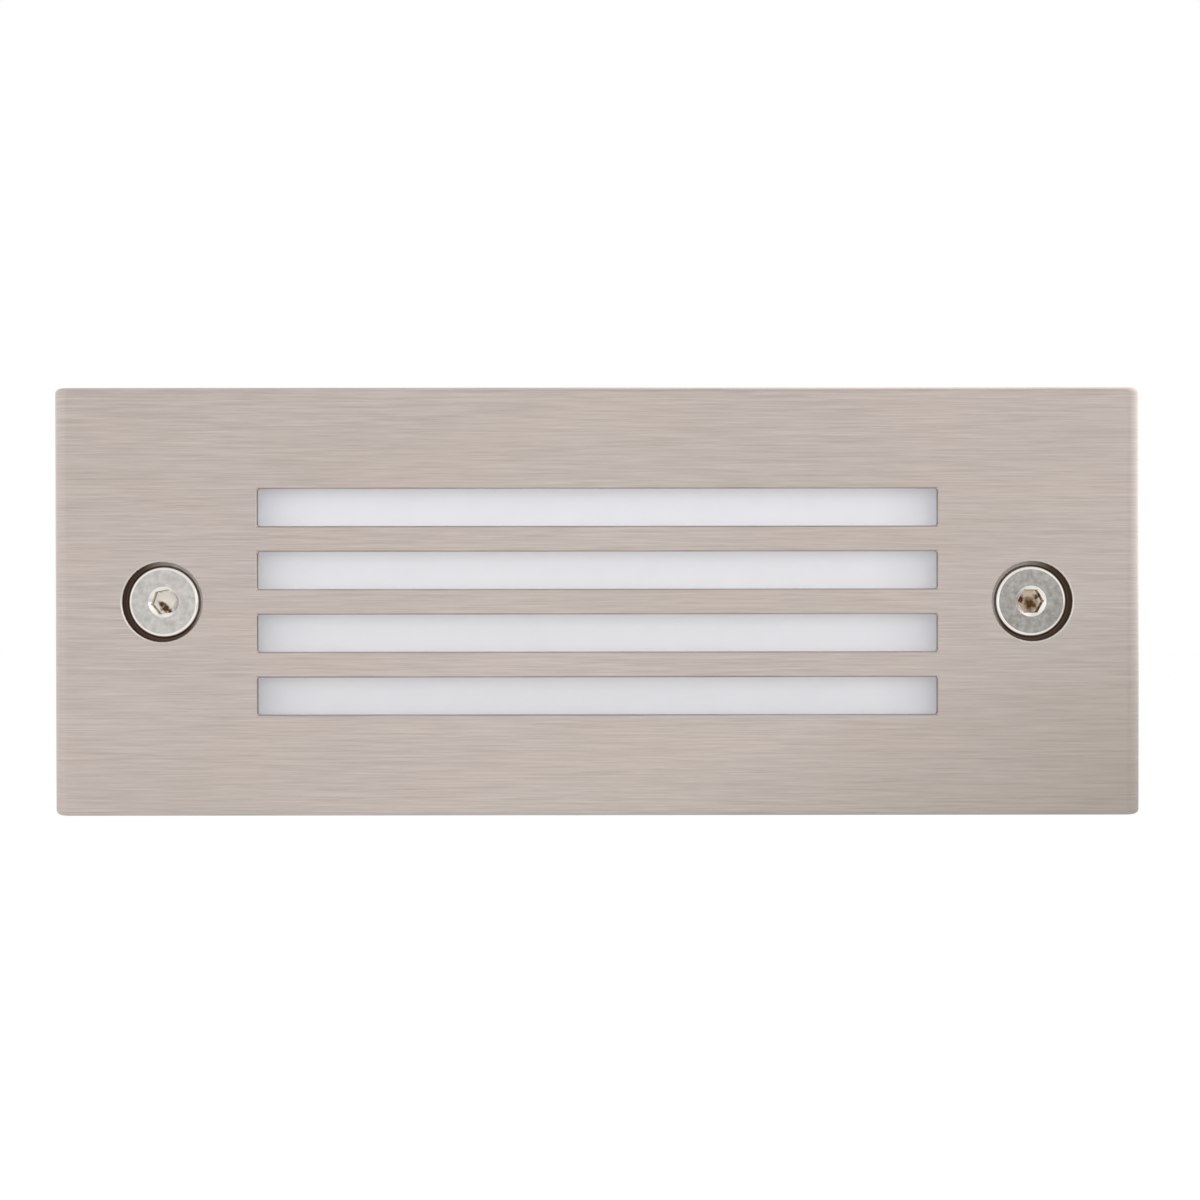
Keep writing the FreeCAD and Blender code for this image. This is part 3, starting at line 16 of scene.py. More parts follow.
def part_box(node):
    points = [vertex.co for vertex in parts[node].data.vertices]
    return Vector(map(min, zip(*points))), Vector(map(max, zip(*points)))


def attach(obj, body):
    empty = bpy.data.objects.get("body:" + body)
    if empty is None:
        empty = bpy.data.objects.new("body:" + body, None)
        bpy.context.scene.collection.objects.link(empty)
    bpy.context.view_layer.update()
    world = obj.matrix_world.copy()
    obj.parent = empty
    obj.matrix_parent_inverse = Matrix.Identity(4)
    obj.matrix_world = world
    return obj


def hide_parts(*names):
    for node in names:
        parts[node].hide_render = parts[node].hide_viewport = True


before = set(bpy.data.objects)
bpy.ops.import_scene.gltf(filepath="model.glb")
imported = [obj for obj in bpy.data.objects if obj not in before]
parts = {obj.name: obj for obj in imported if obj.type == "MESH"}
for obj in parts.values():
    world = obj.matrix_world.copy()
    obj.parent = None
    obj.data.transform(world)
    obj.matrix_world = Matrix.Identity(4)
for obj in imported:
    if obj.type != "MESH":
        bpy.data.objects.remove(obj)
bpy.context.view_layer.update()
MM = 0.001

# %% [markdown]
# ## The camera
# The picture was taken from straight in front, a little above the middle of the plate. A camera at 400 mm
# shows the sides of the slots and screw holes just as the picture does: nearer and more of them would show,
# further and less. The lens follows from that distance, because the plate has to fill the same width. The
# camera looks along its own backward axis, which is square to its right and its up.

# %% Place the camera
PHOTO_WIDTH = 1200
FOCAL_PIXELS = 1865.11
SENSOR = 36.0
CAMERA_PLACE = (0.064, -405.984, 3.592)
CAMERA_RIGHT = Vector((0.999999, -0.001210, -0.001082))
CAMERA_UP = Vector((0.001092, 0.008116, 0.999966))

scene = bpy.context.scene
camera = bpy.data.objects.new("camera", bpy.data.cameras.new("camera"))
scene.collection.objects.link(camera)
camera.data.sensor_width = SENSOR
camera.data.lens = SENSOR * FOCAL_PIXELS / PHOTO_WIDTH
camera.data.clip_start = 0.01
camera.data.clip_end = 20
axes = Matrix((CAMERA_RIGHT, CAMERA_UP, CAMERA_RIGHT.cross(CAMERA_UP)))
camera.matrix_world = Matrix.Translation(Vector(CAMERA_PLACE) * MM) @ axes.transposed().to_4x4()
scene.camera = camera
print("lens in mm:", round(camera.data.lens, 2))

# %% [markdown]
# ## Two small helpers
# Colours are written as they look on a screen, in sRGB hex, but Blender counts in linear light, so one
# function turns the first into the second. A material is a tree of nodes, and one function adds a node with
# its settings and its links. An input is given a number, an output of another node, or just that node, which
# stands for the first output that it has in use.

# %% Colour and node helpers
def linear(code):
    shown = [int(code[i:i + 2], 16) / 255 for i in (1, 3, 5)]
    return (*[c / 12.92 if c <= 0.04045 else ((c + 0.055) / 1.055) ** 2.4 for c in shown], 1)


def add(tree, kind, inputs=None, **settings):
    node = tree.nodes.new(f"ShaderNode{kind}")
    for key, setting in settings.items():
        setattr(node, key, setting)
    for key, given in (inputs or {}).items():
        if isinstance(given, bpy.types.Node):
            given = next(output for output in given.outputs if output.enabled)
        if isinstance(given, bpy.types.NodeSocket):
            tree.links.new(given, node.inputs[key])
        else:
            node.inputs[key].default_value = given
    return node


print("mid grey #808080 in linear light:", round(linear("#808080")[0], 3))

# %% [markdown]
# ## The floor
# The picture has a white background without a shadow near the light, as a product picture has. The floor is
# a pale sheet some way below the light. To the camera it adds a glow of its own, so that it comes out white
# where it is lit and greyer in the shadow. Metal is nothing but what it reflects, so mirror rays are given
# nearly the same white, a little less towards the right, where the plate's lower corner turns darker.

# %% Make the floor
FLOOR_Z = -0.16
FLOOR_HALF = 4
PAPER_GLOW = 0.8
PAPER_MIRRORED = 0.7
PAPER_SHADE = 0.3
WHITE = (1, 1, 1, 1)


def ray_kinds(tree):
    """Whether a ray is a mirror ray, and whether it is any ray that shows the background itself."""
    ray = add(tree, "LightPath").outputs
    direct = add(tree, "Math", {0: ray["Is Camera Ray"], 1: ray["Is Glossy Ray"]}, operation="MAXIMUM")
    seen = add(tree, "Math", {0: direct, 1: ray["Is Transmission Ray"]}, operation="MAXIMUM")
    return ray["Is Glossy Ray"], seen


floor_mesh = bpy.data.meshes.new("floor")
corners = [(x * FLOOR_HALF, y * FLOOR_HALF, FLOOR_Z) for x, y in ((-1, -1), (1, -1), (1, 1), (-1, 1))]
floor_mesh.from_pydata(corners, [], [(0, 1, 2, 3)])
floor = bpy.data.objects.new("floor", floor_mesh)
scene.collection.objects.link(floor)

paper = bpy.data.materials.new("white_paper")
paper.use_nodes = True
tree = paper.node_tree
tree.nodes.clear()
mirror_ray, seen = ray_kinds(tree)
matt = add(tree, "BsdfDiffuse", {"Color": linear("#9a9a9a")})
strength = add(tree, "Mix", {"Factor": mirror_ray, "A": PAPER_GLOW, "B": PAPER_MIRRORED}, data_type="FLOAT")
at = add(tree, "SeparateXYZ", {"Vector": add(tree, "TexCoord").outputs["Object"]}).outputs
shade = add(tree, "MapRange", {"Value": at["X"], "From Min": 0.1, "From Max": 0.7, "To Max": PAPER_SHADE})
mirrored = add(tree, "Math", {0: shade, 1: mirror_ray}, operation="MULTIPLY")
strength = add(tree, "Math", {0: strength, 1: mirrored}, operation="SUBTRACT")
level = add(tree, "Math", {0: seen, 1: strength}, operation="MULTIPLY")
glow = add(tree, "Emission", {"Color": WHITE, "Strength": level})
both = add(tree, "AddShader", {0: matt, 1: glow})
add(tree, "OutputMaterial", {"Surface": both})
floor.data.materials.append(paper)
print("floor is", round(-FLOOR_Z / MM), "mm below the middle of the light")

# %% [markdown]
# ## The sky
# The sky is plain white to the camera and gives soft light from all round. To mirror rays it is a room: the
# ceiling is a little darker, and the walls grow brighter towards the sides, which gives the bent ends of the
# plate their bright lines. An angle to the side tells a ray where on the walls it lands.

# %% Make the sky
SKY_LIGHT = 0.6
DARK_CEILING = 0.86
CEILING_HEIGHT = 0.75
WALLS = [(25, 125, 1.9), (-20, -50, 1.15)]     # where each wall starts and is full, in degrees, and its white

world = bpy.data.worlds.new("studio")
scene.world = world
scene.view_settings.view_transform = "Standard"
world.use_nodes = True
tree = world.node_tree
tree.nodes.clear()
mirror_ray, seen = ray_kinds(tree)
toward = add(tree, "SeparateXYZ", {"Vector": add(tree, "TexCoord").outputs["Generated"]}).outputs
room = add(tree, "MapRange", {"Value": toward["Z"], "From Min": 0.0, "From Max": CEILING_HEIGHT,
                              "To Min": 1.0, "To Max": DARK_CEILING})
in_front = add(tree, "Math", {0: toward["Y"], 1: -1.0}, operation="MULTIPLY")
aside = add(tree, "Math", {0: toward["X"], 1: in_front}, operation="ARCTAN2")
for start, full, white in WALLS:
    wall = add(tree, "MapRange", {"Value": aside, "From Min": math.radians(start),
                                  "From Max": math.radians(full), "To Min": 1.0, "To Max": white})
    room = add(tree, "Math", {0: room, 1: wall}, operation="MULTIPLY")
mirrored = add(tree, "Mix", {"Factor": mirror_ray, "A": 1.0, "B": room}, data_type="FLOAT")
level = add(tree, "Mix", {"Factor": seen, "A": SKY_LIGHT, "B": mirrored}, data_type="FLOAT")
sky = add(tree, "Background", {"Color": WHITE, "Strength": level})
add(tree, "OutputWorld", {"Surface": sky})
print("walls in the mirrored room:", len(WALLS))

# %% [markdown]
# ## The lamps
# Three large soft lamps give the light itself, from both sides and above. They stay out of the mirror, since
# the plate would show them as patches. Two small weak strips do show in it, and put the glints on the
# screws.

# %% Set up the lamps
def add_lamp(name, place, width, height, watts, mirrored):
    data = bpy.data.lights.new(name, "AREA")
    data.shape = "RECTANGLE"
    data.size = width
    data.size_y = height
    data.energy = watts
    lamp = bpy.data.objects.new(name, data)
    scene.collection.objects.link(lamp)
    lamp.location = place
    lamp.rotation_euler = (-Vector(place)).to_track_quat("-Z", "Y").to_euler()
    lamp.visible_camera = False
    lamp.visible_glossy = mirrored
    return lamp


lamps = [
    add_lamp("front_strip", (0.0, -1.4, 0.0), 0.35, 0.12, 0.06, mirrored=True),
    add_lamp("right_strip", (0.5, -1.4, 0.25), 0.3, 0.2, 0.09, mirrored=True),
    add_lamp("left_softbox", (-1.1, -1.3, 0.25), 0.8, 0.8, 4, mirrored=False),
    add_lamp("right_softbox", (1.07, -0.90, 0.25), 1.2, 0.9, 3.6, mirrored=False),
    add_lamp("top_softbox", (0.1, -1.5, 0.3), 1.2, 0.8, 8, mirrored=False),
]
print("lamps:", [lamp.name for lamp in lamps])

# %% [markdown]
# ## Patterns at their real size
# Every finish here is a pattern of known size: brush lines a fraction of a millimetre apart, the fine grain
# of a mould, the rings that a lathe leaves. One function makes noise whose grains have a given length along
# each axis in millimetres. It reads the object's own metres, so the pattern stays on the part when it moves.
# Noise lies mostly between 0.3 and 0.7, so a second function spreads it over the range that is wanted.

# %% The pattern helpers
def grain(tree, place, size_mm, detail=2.0, rough=0.5, shift=(0, 0, 0)):
    scale = [1 / (size * MM) for size in size_mm]
    scaled = add(tree, "Mapping", {"Vector": place, "Scale": scale, "Location": shift})
    return add(tree, "TexNoise", {"Vector": scaled, "Scale": 1.0, "Detail": detail, "Roughness": rough})


def spread(tree, noise, low, high):
    return add(tree, "MapRange", {"Value": noise, "From Min": 0.3, "From Max": 0.7,
                                  "To Min": low, "To Max": high})


print("a 0.4 mm grain is a scale of", round(1 / (0.4 * MM)), "to the metre")

# %% [markdown]
# ## From pattern to material
# Every material below is made in three steps. It starts as an empty tree that knows the place on the part.
# Its colour is built as a painter would, in coats: each coat has a mask, which says where it covers, and a
# colour. Then one shader takes the colour, the roughness and a relief, with what is the same all over.

# %% The material helpers
def blank(name):
    material = bpy.data.materials.new(name)
    material.use_nodes = True
    tree = material.node_tree
    tree.nodes.clear()
    return material, tree, add(tree, "TexCoord").outputs["Object"]


def where_all(tree, *masks):
    shared = masks[0]
    for mask in masks[1:]:
        shared = add(tree, "Math", {0: shared, 1: mask}, operation="MULTIPLY")
    return shared


def painted(tree, colour, *coats):
    for mask, code in coats:
        colour = add(tree, "Mix", {"Factor": mask, "A": colour, "B": linear(code)}, data_type="RGBA")
    return colour


def surface(tree, colour, rough, height, depth_mm, **all_over):
    relief = add(tree, "Bump", {"Height": height, "Distance": depth_mm * MM, "Strength": 1.0})
    inputs = {key.replace("_", " "): setting for key, setting in all_over.items()}
    inputs.update({"Base Color": colour, "Roughness": rough, "Normal": relief})
    add(tree, "OutputMaterial", {"Surface": add(tree, "BsdfPrincipled", inputs)})


print("material helpers:", [helper.__name__ for helper in (blank, where_all, painted, surface)])

# %% [markdown]
# ## The cut edges of the face plate
# The slots and screw holes are cut through the sheet, and a cut is not brushed. The walls of the screw holes
# are painted dark, a painted shade, since they face nothing but each other, and the end walls of the slots
# are painted a little darker, a painted shade on the unbrushed cut. Deburring left a small round at the
# holes, which is painted lighter, a painted highlight. Which of these a point is on can be told from where it
# is and where it faces, so nothing has to be painted by hand.

# %% Masks for the cut edges
CUT_FIELD_X = 105      # all cuts lie within this distance from the middle, in mm
CUT_FIELD_Z = 40
SLOT_FIELD_X = 80      # and the slots within this


def cut_edges(tree, place):
    """Masks for painted light: a painted highlight on the round that deburring left, painted shade on the
    walls of the screw holes and on the end walls of the slots.
    """
    at = add(tree, "SeparateXYZ", {"Vector": place}).outputs
    facing = add(tree, "SeparateXYZ", {"Vector": add(tree, "NewGeometry").outputs["Normal"]}).outputs
    front, aside, far, high = [add(tree, "Math", {0: reading}, operation="ABSOLUTE")
                               for reading in (facing["Y"], facing["X"], at["X"], at["Z"])]
    within_x, within_z, by_slots = [
        add(tree, "Math", {0: distance, 1: limit * MM}, operation="LESS_THAN")
        for distance, limit in ((far, CUT_FIELD_X), (high, CUT_FIELD_Z), (far, SLOT_FIELD_X))]
    by_holes = add(tree, "Math", {0: 1.0, 1: by_slots}, operation="SUBTRACT")
    tilted = add(tree, "MapRange", {"Value": front, "From Min": 0.97, "From Max": 0.9})
    upright = add(tree, "MapRange", {"Value": front, "From Min": 0.45, "From Max": 0.25})
    deep = add(tree, "MapRange", {"Value": at["Y"], "From Min": -5.4 * MM, "From Max": -4.9 * MM})
    endways = add(tree, "MapRange", {"Value": aside, "From Min": 0.5, "From Max": 0.8})
    field = where_all(tree, within_x, within_z)
    wall = where_all(tree, upright, field)
    return (where_all(tree, tilted, where_all(tree, field, by_holes)),
            where_all(tree, wall, by_holes, deep),
            where_all(tree, wall, by_slots, endways))


print("the field of cuts is", 2 * CUT_FIELD_X, "by", 2 * CUT_FIELD_Z, "mm")

# %% [markdown]
# ## Brushed stainless steel
# The face plate is stainless sheet that a belt of fine grit was run along, so its lines lie level and the
# light smears upright. Grit leaves lines about 0.1 mm wide and 20 mm long, too fine to show at this size, so
# they are drawn 0.27 mm wide and 11 mm long. Wider bands and two broad faint clouds, one greenish and one
# pink, stand for the sheet's own unevenness, and the lower right corner is painted darker, a painted shade.

# %% Brushed stainless steel
BRUSH_LINE = (11, 11, 0.27)
BRUSH_BAND = (60, 60, 1.6)
BRUSH_DEPTH = 0.003
# painted shade: the plate is painted darker towards its lower right corner
SHADED_CORNER = (4.3, 0, -10.9)      # per metre, so that it grows towards the lower right


def make_brushed_stainless():
    material, tree, place = blank("brushed_stainless_sheet")
    lines = grain(tree, place, BRUSH_LINE, detail=3, rough=0.6)
    bands = grain(tree, place, BRUSH_BAND)
    greenish = grain(tree, place, (60, 60, 30), detail=1, shift=(3.1, 0, 1.7))
    pink = grain(tree, place, (32, 32, 12), detail=1, shift=(0.4, 0, 5.2))
    # Painted shade: the plate is painted darker towards its lower right corner.
    corner = add(tree, "VectorMath", {0: place, 1: SHADED_CORNER}, operation="DOT_PRODUCT")
    corner_shade = add(tree, "MapRange", {"Value": corner, "From Min": 0.45, "From Max": 0.95, "To Max": 0.42})
    # Painted highlight on the deburred round, painted shade on the walls of the screw holes and the end walls
    # of the slots.
    deburred_highlight, hole_wall_shade, slot_end_shade = cut_edges(tree, place)
    colour = painted(tree, linear("#9a9089"), (lines, "#e3d9d2"),
                     (spread(tree, bands, 0.0, 0.14), "#dcd2cb"),
                     (spread(tree, greenish, 0.0, 0.12), "#a79f93"),
                     (spread(tree, pink, 0.0, 0.16), "#d2b9af"),
                     (corner_shade, "#8d857b"),
                     (deburred_highlight, "#e2dcd7"), (hole_wall_shade, "#5f4e42"), (slot_end_shade, "#8a7f76"))
    upright = add(tree, "CombineXYZ", {"X": 0.0, "Y": 0.0, "Z": 1.0})
    surface(tree, colour, spread(tree, lines, 0.30, 0.40), lines, BRUSH_DEPTH,
            Metallic=1.0, Anisotropic=0.55, Tangent=upright)
    return material


print("brush lines are drawn", BRUSH_LINE[2], "mm wide")

# %% [markdown]
# ## Turned metals
# Screws, cups, nuts and inserts come off a lathe, which leaves fine rings round their own axis. The pattern
# is therefore noise of the distance from that axis. Real rings are some 0.05 mm apart, too fine to show, so
# they are drawn 0.16 mm apart. Handling leaves soft patches of wear, a millimetre or two across.

# %% Turned metal
RING_GAP = 0.16
RING_DEPTH = 0.004
WEAR_PATCH = 1.4


def from_axis(tree, place, middle):
    """The way from the middle, the same without its part along the axis, and how long that is."""
    moved = add(tree, "VectorMath", {0: place, 1: middle}, operation="SUBTRACT")
    flat = add(tree, "VectorMath", {0: moved, 1: (1, 0, 1)}, operation="MULTIPLY")
    return moved, flat, add(tree, "VectorMath", {0: flat}, operation="LENGTH")


def turned(tree, place, middle, dark, light, roughness):
    """The colour, roughness and rings that a lathe leaves."""
    moved, flat, radius = from_axis(tree, place, middle)
    along = add(tree, "VectorMath", {0: moved, 1: flat}, operation="SUBTRACT")
    outward = add(tree, "CombineXYZ", {"X": radius, "Y": radius, "Z": radius})
    ring_place = add(tree, "VectorMath", {0: along, 1: outward}, operation="ADD")
    rings = grain(tree, ring_place, (RING_GAP,) * 3)
    wear = grain(tree, place, (WEAR_PATCH,) * 3, detail=3, rough=0.6)
    colour = painted(tree, linear(dark), (spread(tree, wear, 0.1, 0.9), light))
    return colour, spread(tree, wear, roughness - 0.05, roughness + 0.05), rings


def make_turned(name, dark, light, roughness):
    material, tree, place = blank(name)
    surface(tree, *turned(tree, place, (0, 0, 0), dark, light, roughness), RING_DEPTH, Metallic=1.0)
    return material


print("rings are drawn", RING_GAP, "mm apart")

# %% [markdown]
# ## The screws' own steel
# The head of a cover screw is faced on the lathe and then tumbled, so it is duller than its rolled rim and
# the cone of its socket, which the cold-forming punch polished; these two are also painted near white, a
# painted highlight. Deeper in the socket the steel is painted darker and warmer, and dark brown spots with
# ragged edges lie on it. The distance from the screw's axis and the depth tell the finish which of these it
# is on. The left socket is the lighter of the two.

# %% Screw steel
MOUTH_EDGE = 3.32
RIM_EDGE = 6.92
DEEP_TONE_START = -3.6
DEEP_TONE_FULL = -2.2
# Deep in the socket the steel is painted darker and warmer, and dark brown spots with ragged edges are
# painted on that part.
SOCKET_DEEP_TONE = {"left": "#dad3ca", "right": "#c3b29e"}
BROWN_SPOTS = {"left": [(-1.2, -0.5, 0.75), (-0.3, -1.6, 0.75), (0.7, -1.9, 0.6)],      # aside, up, radius, in mm
          "right": [(0.6, -0.6, 1.55), (-1.6, 0.4, 0.8), (1.7, 0.6, 0.6)]}


def make_screw_steel(side, dark, light, axis_x):
    material, tree, place = blank(f"{side}_screw_steel")
    middle = (axis_x * MM, 0, 0)
    colour, rough, rings = turned(tree, place, middle, dark, light, 0.2)
    _, flat, radius = from_axis(tree, place, middle)
    in_mouth = add(tree, "Math", {0: radius, 1: MOUTH_EDGE * MM}, operation="LESS_THAN")
    on_rim = add(tree, "Math", {0: radius, 1: RIM_EDGE * MM}, operation="GREATER_THAN")
    polished_and_highlight = add(tree, "Math", {0: in_mouth, 1: on_rim}, operation="MAXIMUM")
    depth = add(tree, "SeparateXYZ", {"Vector": place}).outputs["Y"]
    low = add(tree, "MapRange", {"Value": depth, "From Min": DEEP_TONE_START * MM, "From Max": DEEP_TONE_FULL * MM})
    deep_in_socket = where_all(tree, in_mouth, low)
    ragged = spread(tree, grain(tree, place, (1.1, 1.1, 1.1), detail=3), -0.5 * MM, 0.5 * MM)
    browned = None
    for aside, up, wide in BROWN_SPOTS[side]:
        way = add(tree, "VectorMath", {0: flat, 1: (aside * MM, 0, up * MM)}, operation="DISTANCE")
        way = add(tree, "Math", {0: way, 1: ragged}, operation="ADD")
        spot = add(tree, "MapRange", {"Value": way, "From Min": 1.3 * wide * MM, "From Max": 0.5 * wide * MM})
        browned = add(tree, "Math", {0: browned, 1: spot}, operation="MAXIMUM") if browned else spot
    # The polished rim and mouth of the socket are painted near white, a painted highlight.
    colour = painted(tree, colour, (polished_and_highlight, "#eeebe6"), (deep_in_socket, SOCKET_DEEP_TONE[side]),
                     (where_all(tree, browned, deep_in_socket), "#543a22"))
    rough = add(tree, "Mix", {"Factor": polished_and_highlight, "A": rough, "B": 0.14}, data_type="FLOAT")
    surface(tree, colour, rough, rings, RING_DEPTH, Metallic=1.0)
    return material


print("grease spots:", {side: len(spots) for side, spots in BROWN_SPOTS.items()})

# %% [markdown]
# ## The cups' own steel
# A cup behind each screw hole is plain turned steel. In the gap round the screw head, on the outer and lower
# side, it is painted dark, a painted shade for the deep gap. Behind the plate the cup is not darkened.

# %% Cup steel
CUP_RADIUS = 8
GAP_SHADE_END = -2.9


def make_cup_steel(side, middle):
    material, tree, place = blank(f"{side}_cup_steel")
    colour, rough, rings = turned(tree, place, middle * MM, "#8f867f", "#aaa19a", 0.4)
    moved = add(tree, "VectorMath", {0: place, 1: middle * MM}, operation="SUBTRACT")
    outer_low = Vector((math.copysign(0.8, middle.x), 0, -0.6)) / (CUP_RADIUS * MM)
    toward_low = add(tree, "VectorMath", {0: moved, 1: outer_low}, operation="DOT_PRODUCT")
    # Painted shade in the gap round the screw head, on its outer and lower side.
    gap_shade = add(tree, "MapRange", {"Value": toward_low, "From Min": -0.75, "From Max": -0.1})
    depth = add(tree, "SeparateXYZ", {"Vector": place}).outputs["Y"]
    in_hole = add(tree, "Math", {0: depth, 1: GAP_SHADE_END * MM}, operation="LESS_THAN")
    colour = painted(tree, colour, (where_all(tree, gap_shade, in_hole), "#56463b"))
    surface(tree, colour, rough, rings, RING_DEPTH, Metallic=1.0)
    return material


print("grime stops", -GAP_SHADE_END, "mm before the wall's face")

# %% [markdown]
# ## Moulded and cast parts
# Plastics and die castings copy the skin of their mould, a fine grain like sand paper. The same recipe
# serves them all: two near colours in soft blotches, a fine grain as relief, and the gloss of the material.
# A mould's grain is about 0.1 mm, too fine to show, so each is drawn as coarse as it needs to be.

# %% Moulded plastic, rubber and castings
BLOTCH = 14


def moulded(tree, place, dark, light, roughness, grain_mm, blotch_mm=BLOTCH):
    """The colour, roughness and grain that a mould leaves."""
    blotch = grain(tree, place, (blotch_mm,) * 3, detail=3, rough=0.6)
    skin = grain(tree, place, (grain_mm,) * 3)
    colour = painted(tree, linear(dark), (spread(tree, blotch, 0, 1), light))
    return colour, spread(tree, skin, roughness - 0.06, roughness + 0.06), skin


def make_moulded(name, dark, light, roughness, grain_mm, depth_mm, blotch_mm=BLOTCH, **all_over):
    material, tree, place = blank(name)
    finish = moulded(tree, place, dark, light, roughness, grain_mm, blotch_mm)
    surface(tree, *finish, depth_mm, **all_over)
    return material


print("blotches are", BLOTCH, "mm across")

# %% [markdown]
# ## Light-emitting diodes
# Each LED is a white package of moulded resin with a round window of yellow phosphor in its middle. The
# Generated coordinates run from 0 to 1 over each LED, so one material serves all twelve.

# %% LED package and phosphor
WINDOW_RADIUS = 0.36


def make_led(name):
    material, tree, place = blank(name)
    phosphor, rough, skin = moulded(tree, place, "#dcc552", "#e8d470", 0.35, 0.3)
    over_led = add(tree, "TexCoord").outputs["Generated"]
    _, _, radius = from_axis(tree, over_led, (0.5, 0.5, 0.5))
    package = add(tree, "MapRange", {"Value": radius, "From Min": WINDOW_RADIUS,
                                     "From Max": WINDOW_RADIUS + 0.02})
    surface(tree, painted(tree, phosphor, (package, "#e9e8e2")), rough, skin, 0.01, IOR=1.41)
    return material


print("the window is", 2 * WINDOW_RADIUS, "of the LED's width")

# %% [markdown]
# ## Earth lead
# An earth lead is green PVC with a yellow stripe down two of its sides. The stripe follows where the surface
# faces, since a short lead that hardly turns keeps its stripes on the same sides.

# %% Green and yellow insulation
STRIPE_EDGE = 0.66


def make_earth_pvc(name):
    material, tree, place = blank(name)
    green, rough, skin = moulded(tree, place, "#2f7a3a", "#3f8d49", 0.4, 0.5)
    facing = add(tree, "SeparateXYZ", {"Vector": add(tree, "NewGeometry").outputs["Normal"]}).outputs
    side = add(tree, "Math", {0: facing["Y"]}, operation="ABSOLUTE")
    stripe = add(tree, "MapRange", {"Value": side, "From Min": STRIPE_EDGE, "From Max": STRIPE_EDGE + 0.04})
    surface(tree, painted(tree, green, (stripe, "#d9c63a")), rough, skin, 0.01, IOR=1.53)
    return material


print("each stripe takes", round(math.degrees(2 * math.acos(STRIPE_EDGE))), "degrees of the lead")

# %% [markdown]
# ## Opal acrylic
# The diffuser is acrylic sheet, milky all through, so light wanders a few millimetres inside it before it
# comes out. That softens the shade that the bars throw on it. Blender's subsurface setting does just that.
# The diffuser is also given a faint glow: painted light that lifts the even white in the slots, painted a
# little lighter towards the top, and painted shade at both ends, where the end walls of the slots shade it.

# %% Opal acrylic
OPAL_GLOW = 0.47
OPAL_DEPTH = 10
SLOT_TOP = 22
END_SHADE_START, SLOT_END = 60, 74


def make_opal_acrylic():
    material, tree, place = blank("opal_acrylic")
    cloud = grain(tree, place, (9, 9, 9))
    skin = grain(tree, place, (1.5, 1.5, 6))
    at = add(tree, "SeparateXYZ", {"Vector": place}).outputs
    upward = add(tree, "MapRange", {"Value": at["Z"], "From Min": -SLOT_TOP * MM,
                                    "From Max": SLOT_TOP * MM})
    far = add(tree, "Math", {0: at["X"]}, operation="ABSOLUTE")
    end_wall_shade = add(tree, "MapRange", {"Value": far, "From Min": END_SHADE_START * MM, "From Max": SLOT_END * MM,
                                       "To Max": 0.45})
    # Painted light: the glow lifts the diffuser and is lighter towards the top, and painted shade darkens
    # both ends.
    glow = painted(tree, linear("#dedee1"), (upward, "#efeff3"), (end_wall_shade, "#b4b4ba"))
    colour = painted(tree, linear("#b0b1b4"), (cloud, "#b6b7ba"))
    surface(tree, colour, spread(tree, skin, 0.32, 0.42), skin, 0.006, IOR=1.49,
            Subsurface_Weight=1.0, Subsurface_Scale=OPAL_DEPTH * MM, Subsurface_Radius=(1.0, 1.0, 1.0),
            Emission_Color=glow, Emission_Strength=OPAL_GLOW)
    return material


print("opal acrylic glows at", OPAL_GLOW)

# %% [markdown]
# ## One finish for each kind of part
# The CAD model names the finish of each part. Here each name gets its material. The numbers after the two
# colours of a moulded one are its roughness, its grain and the depth of that grain, in millimetres.

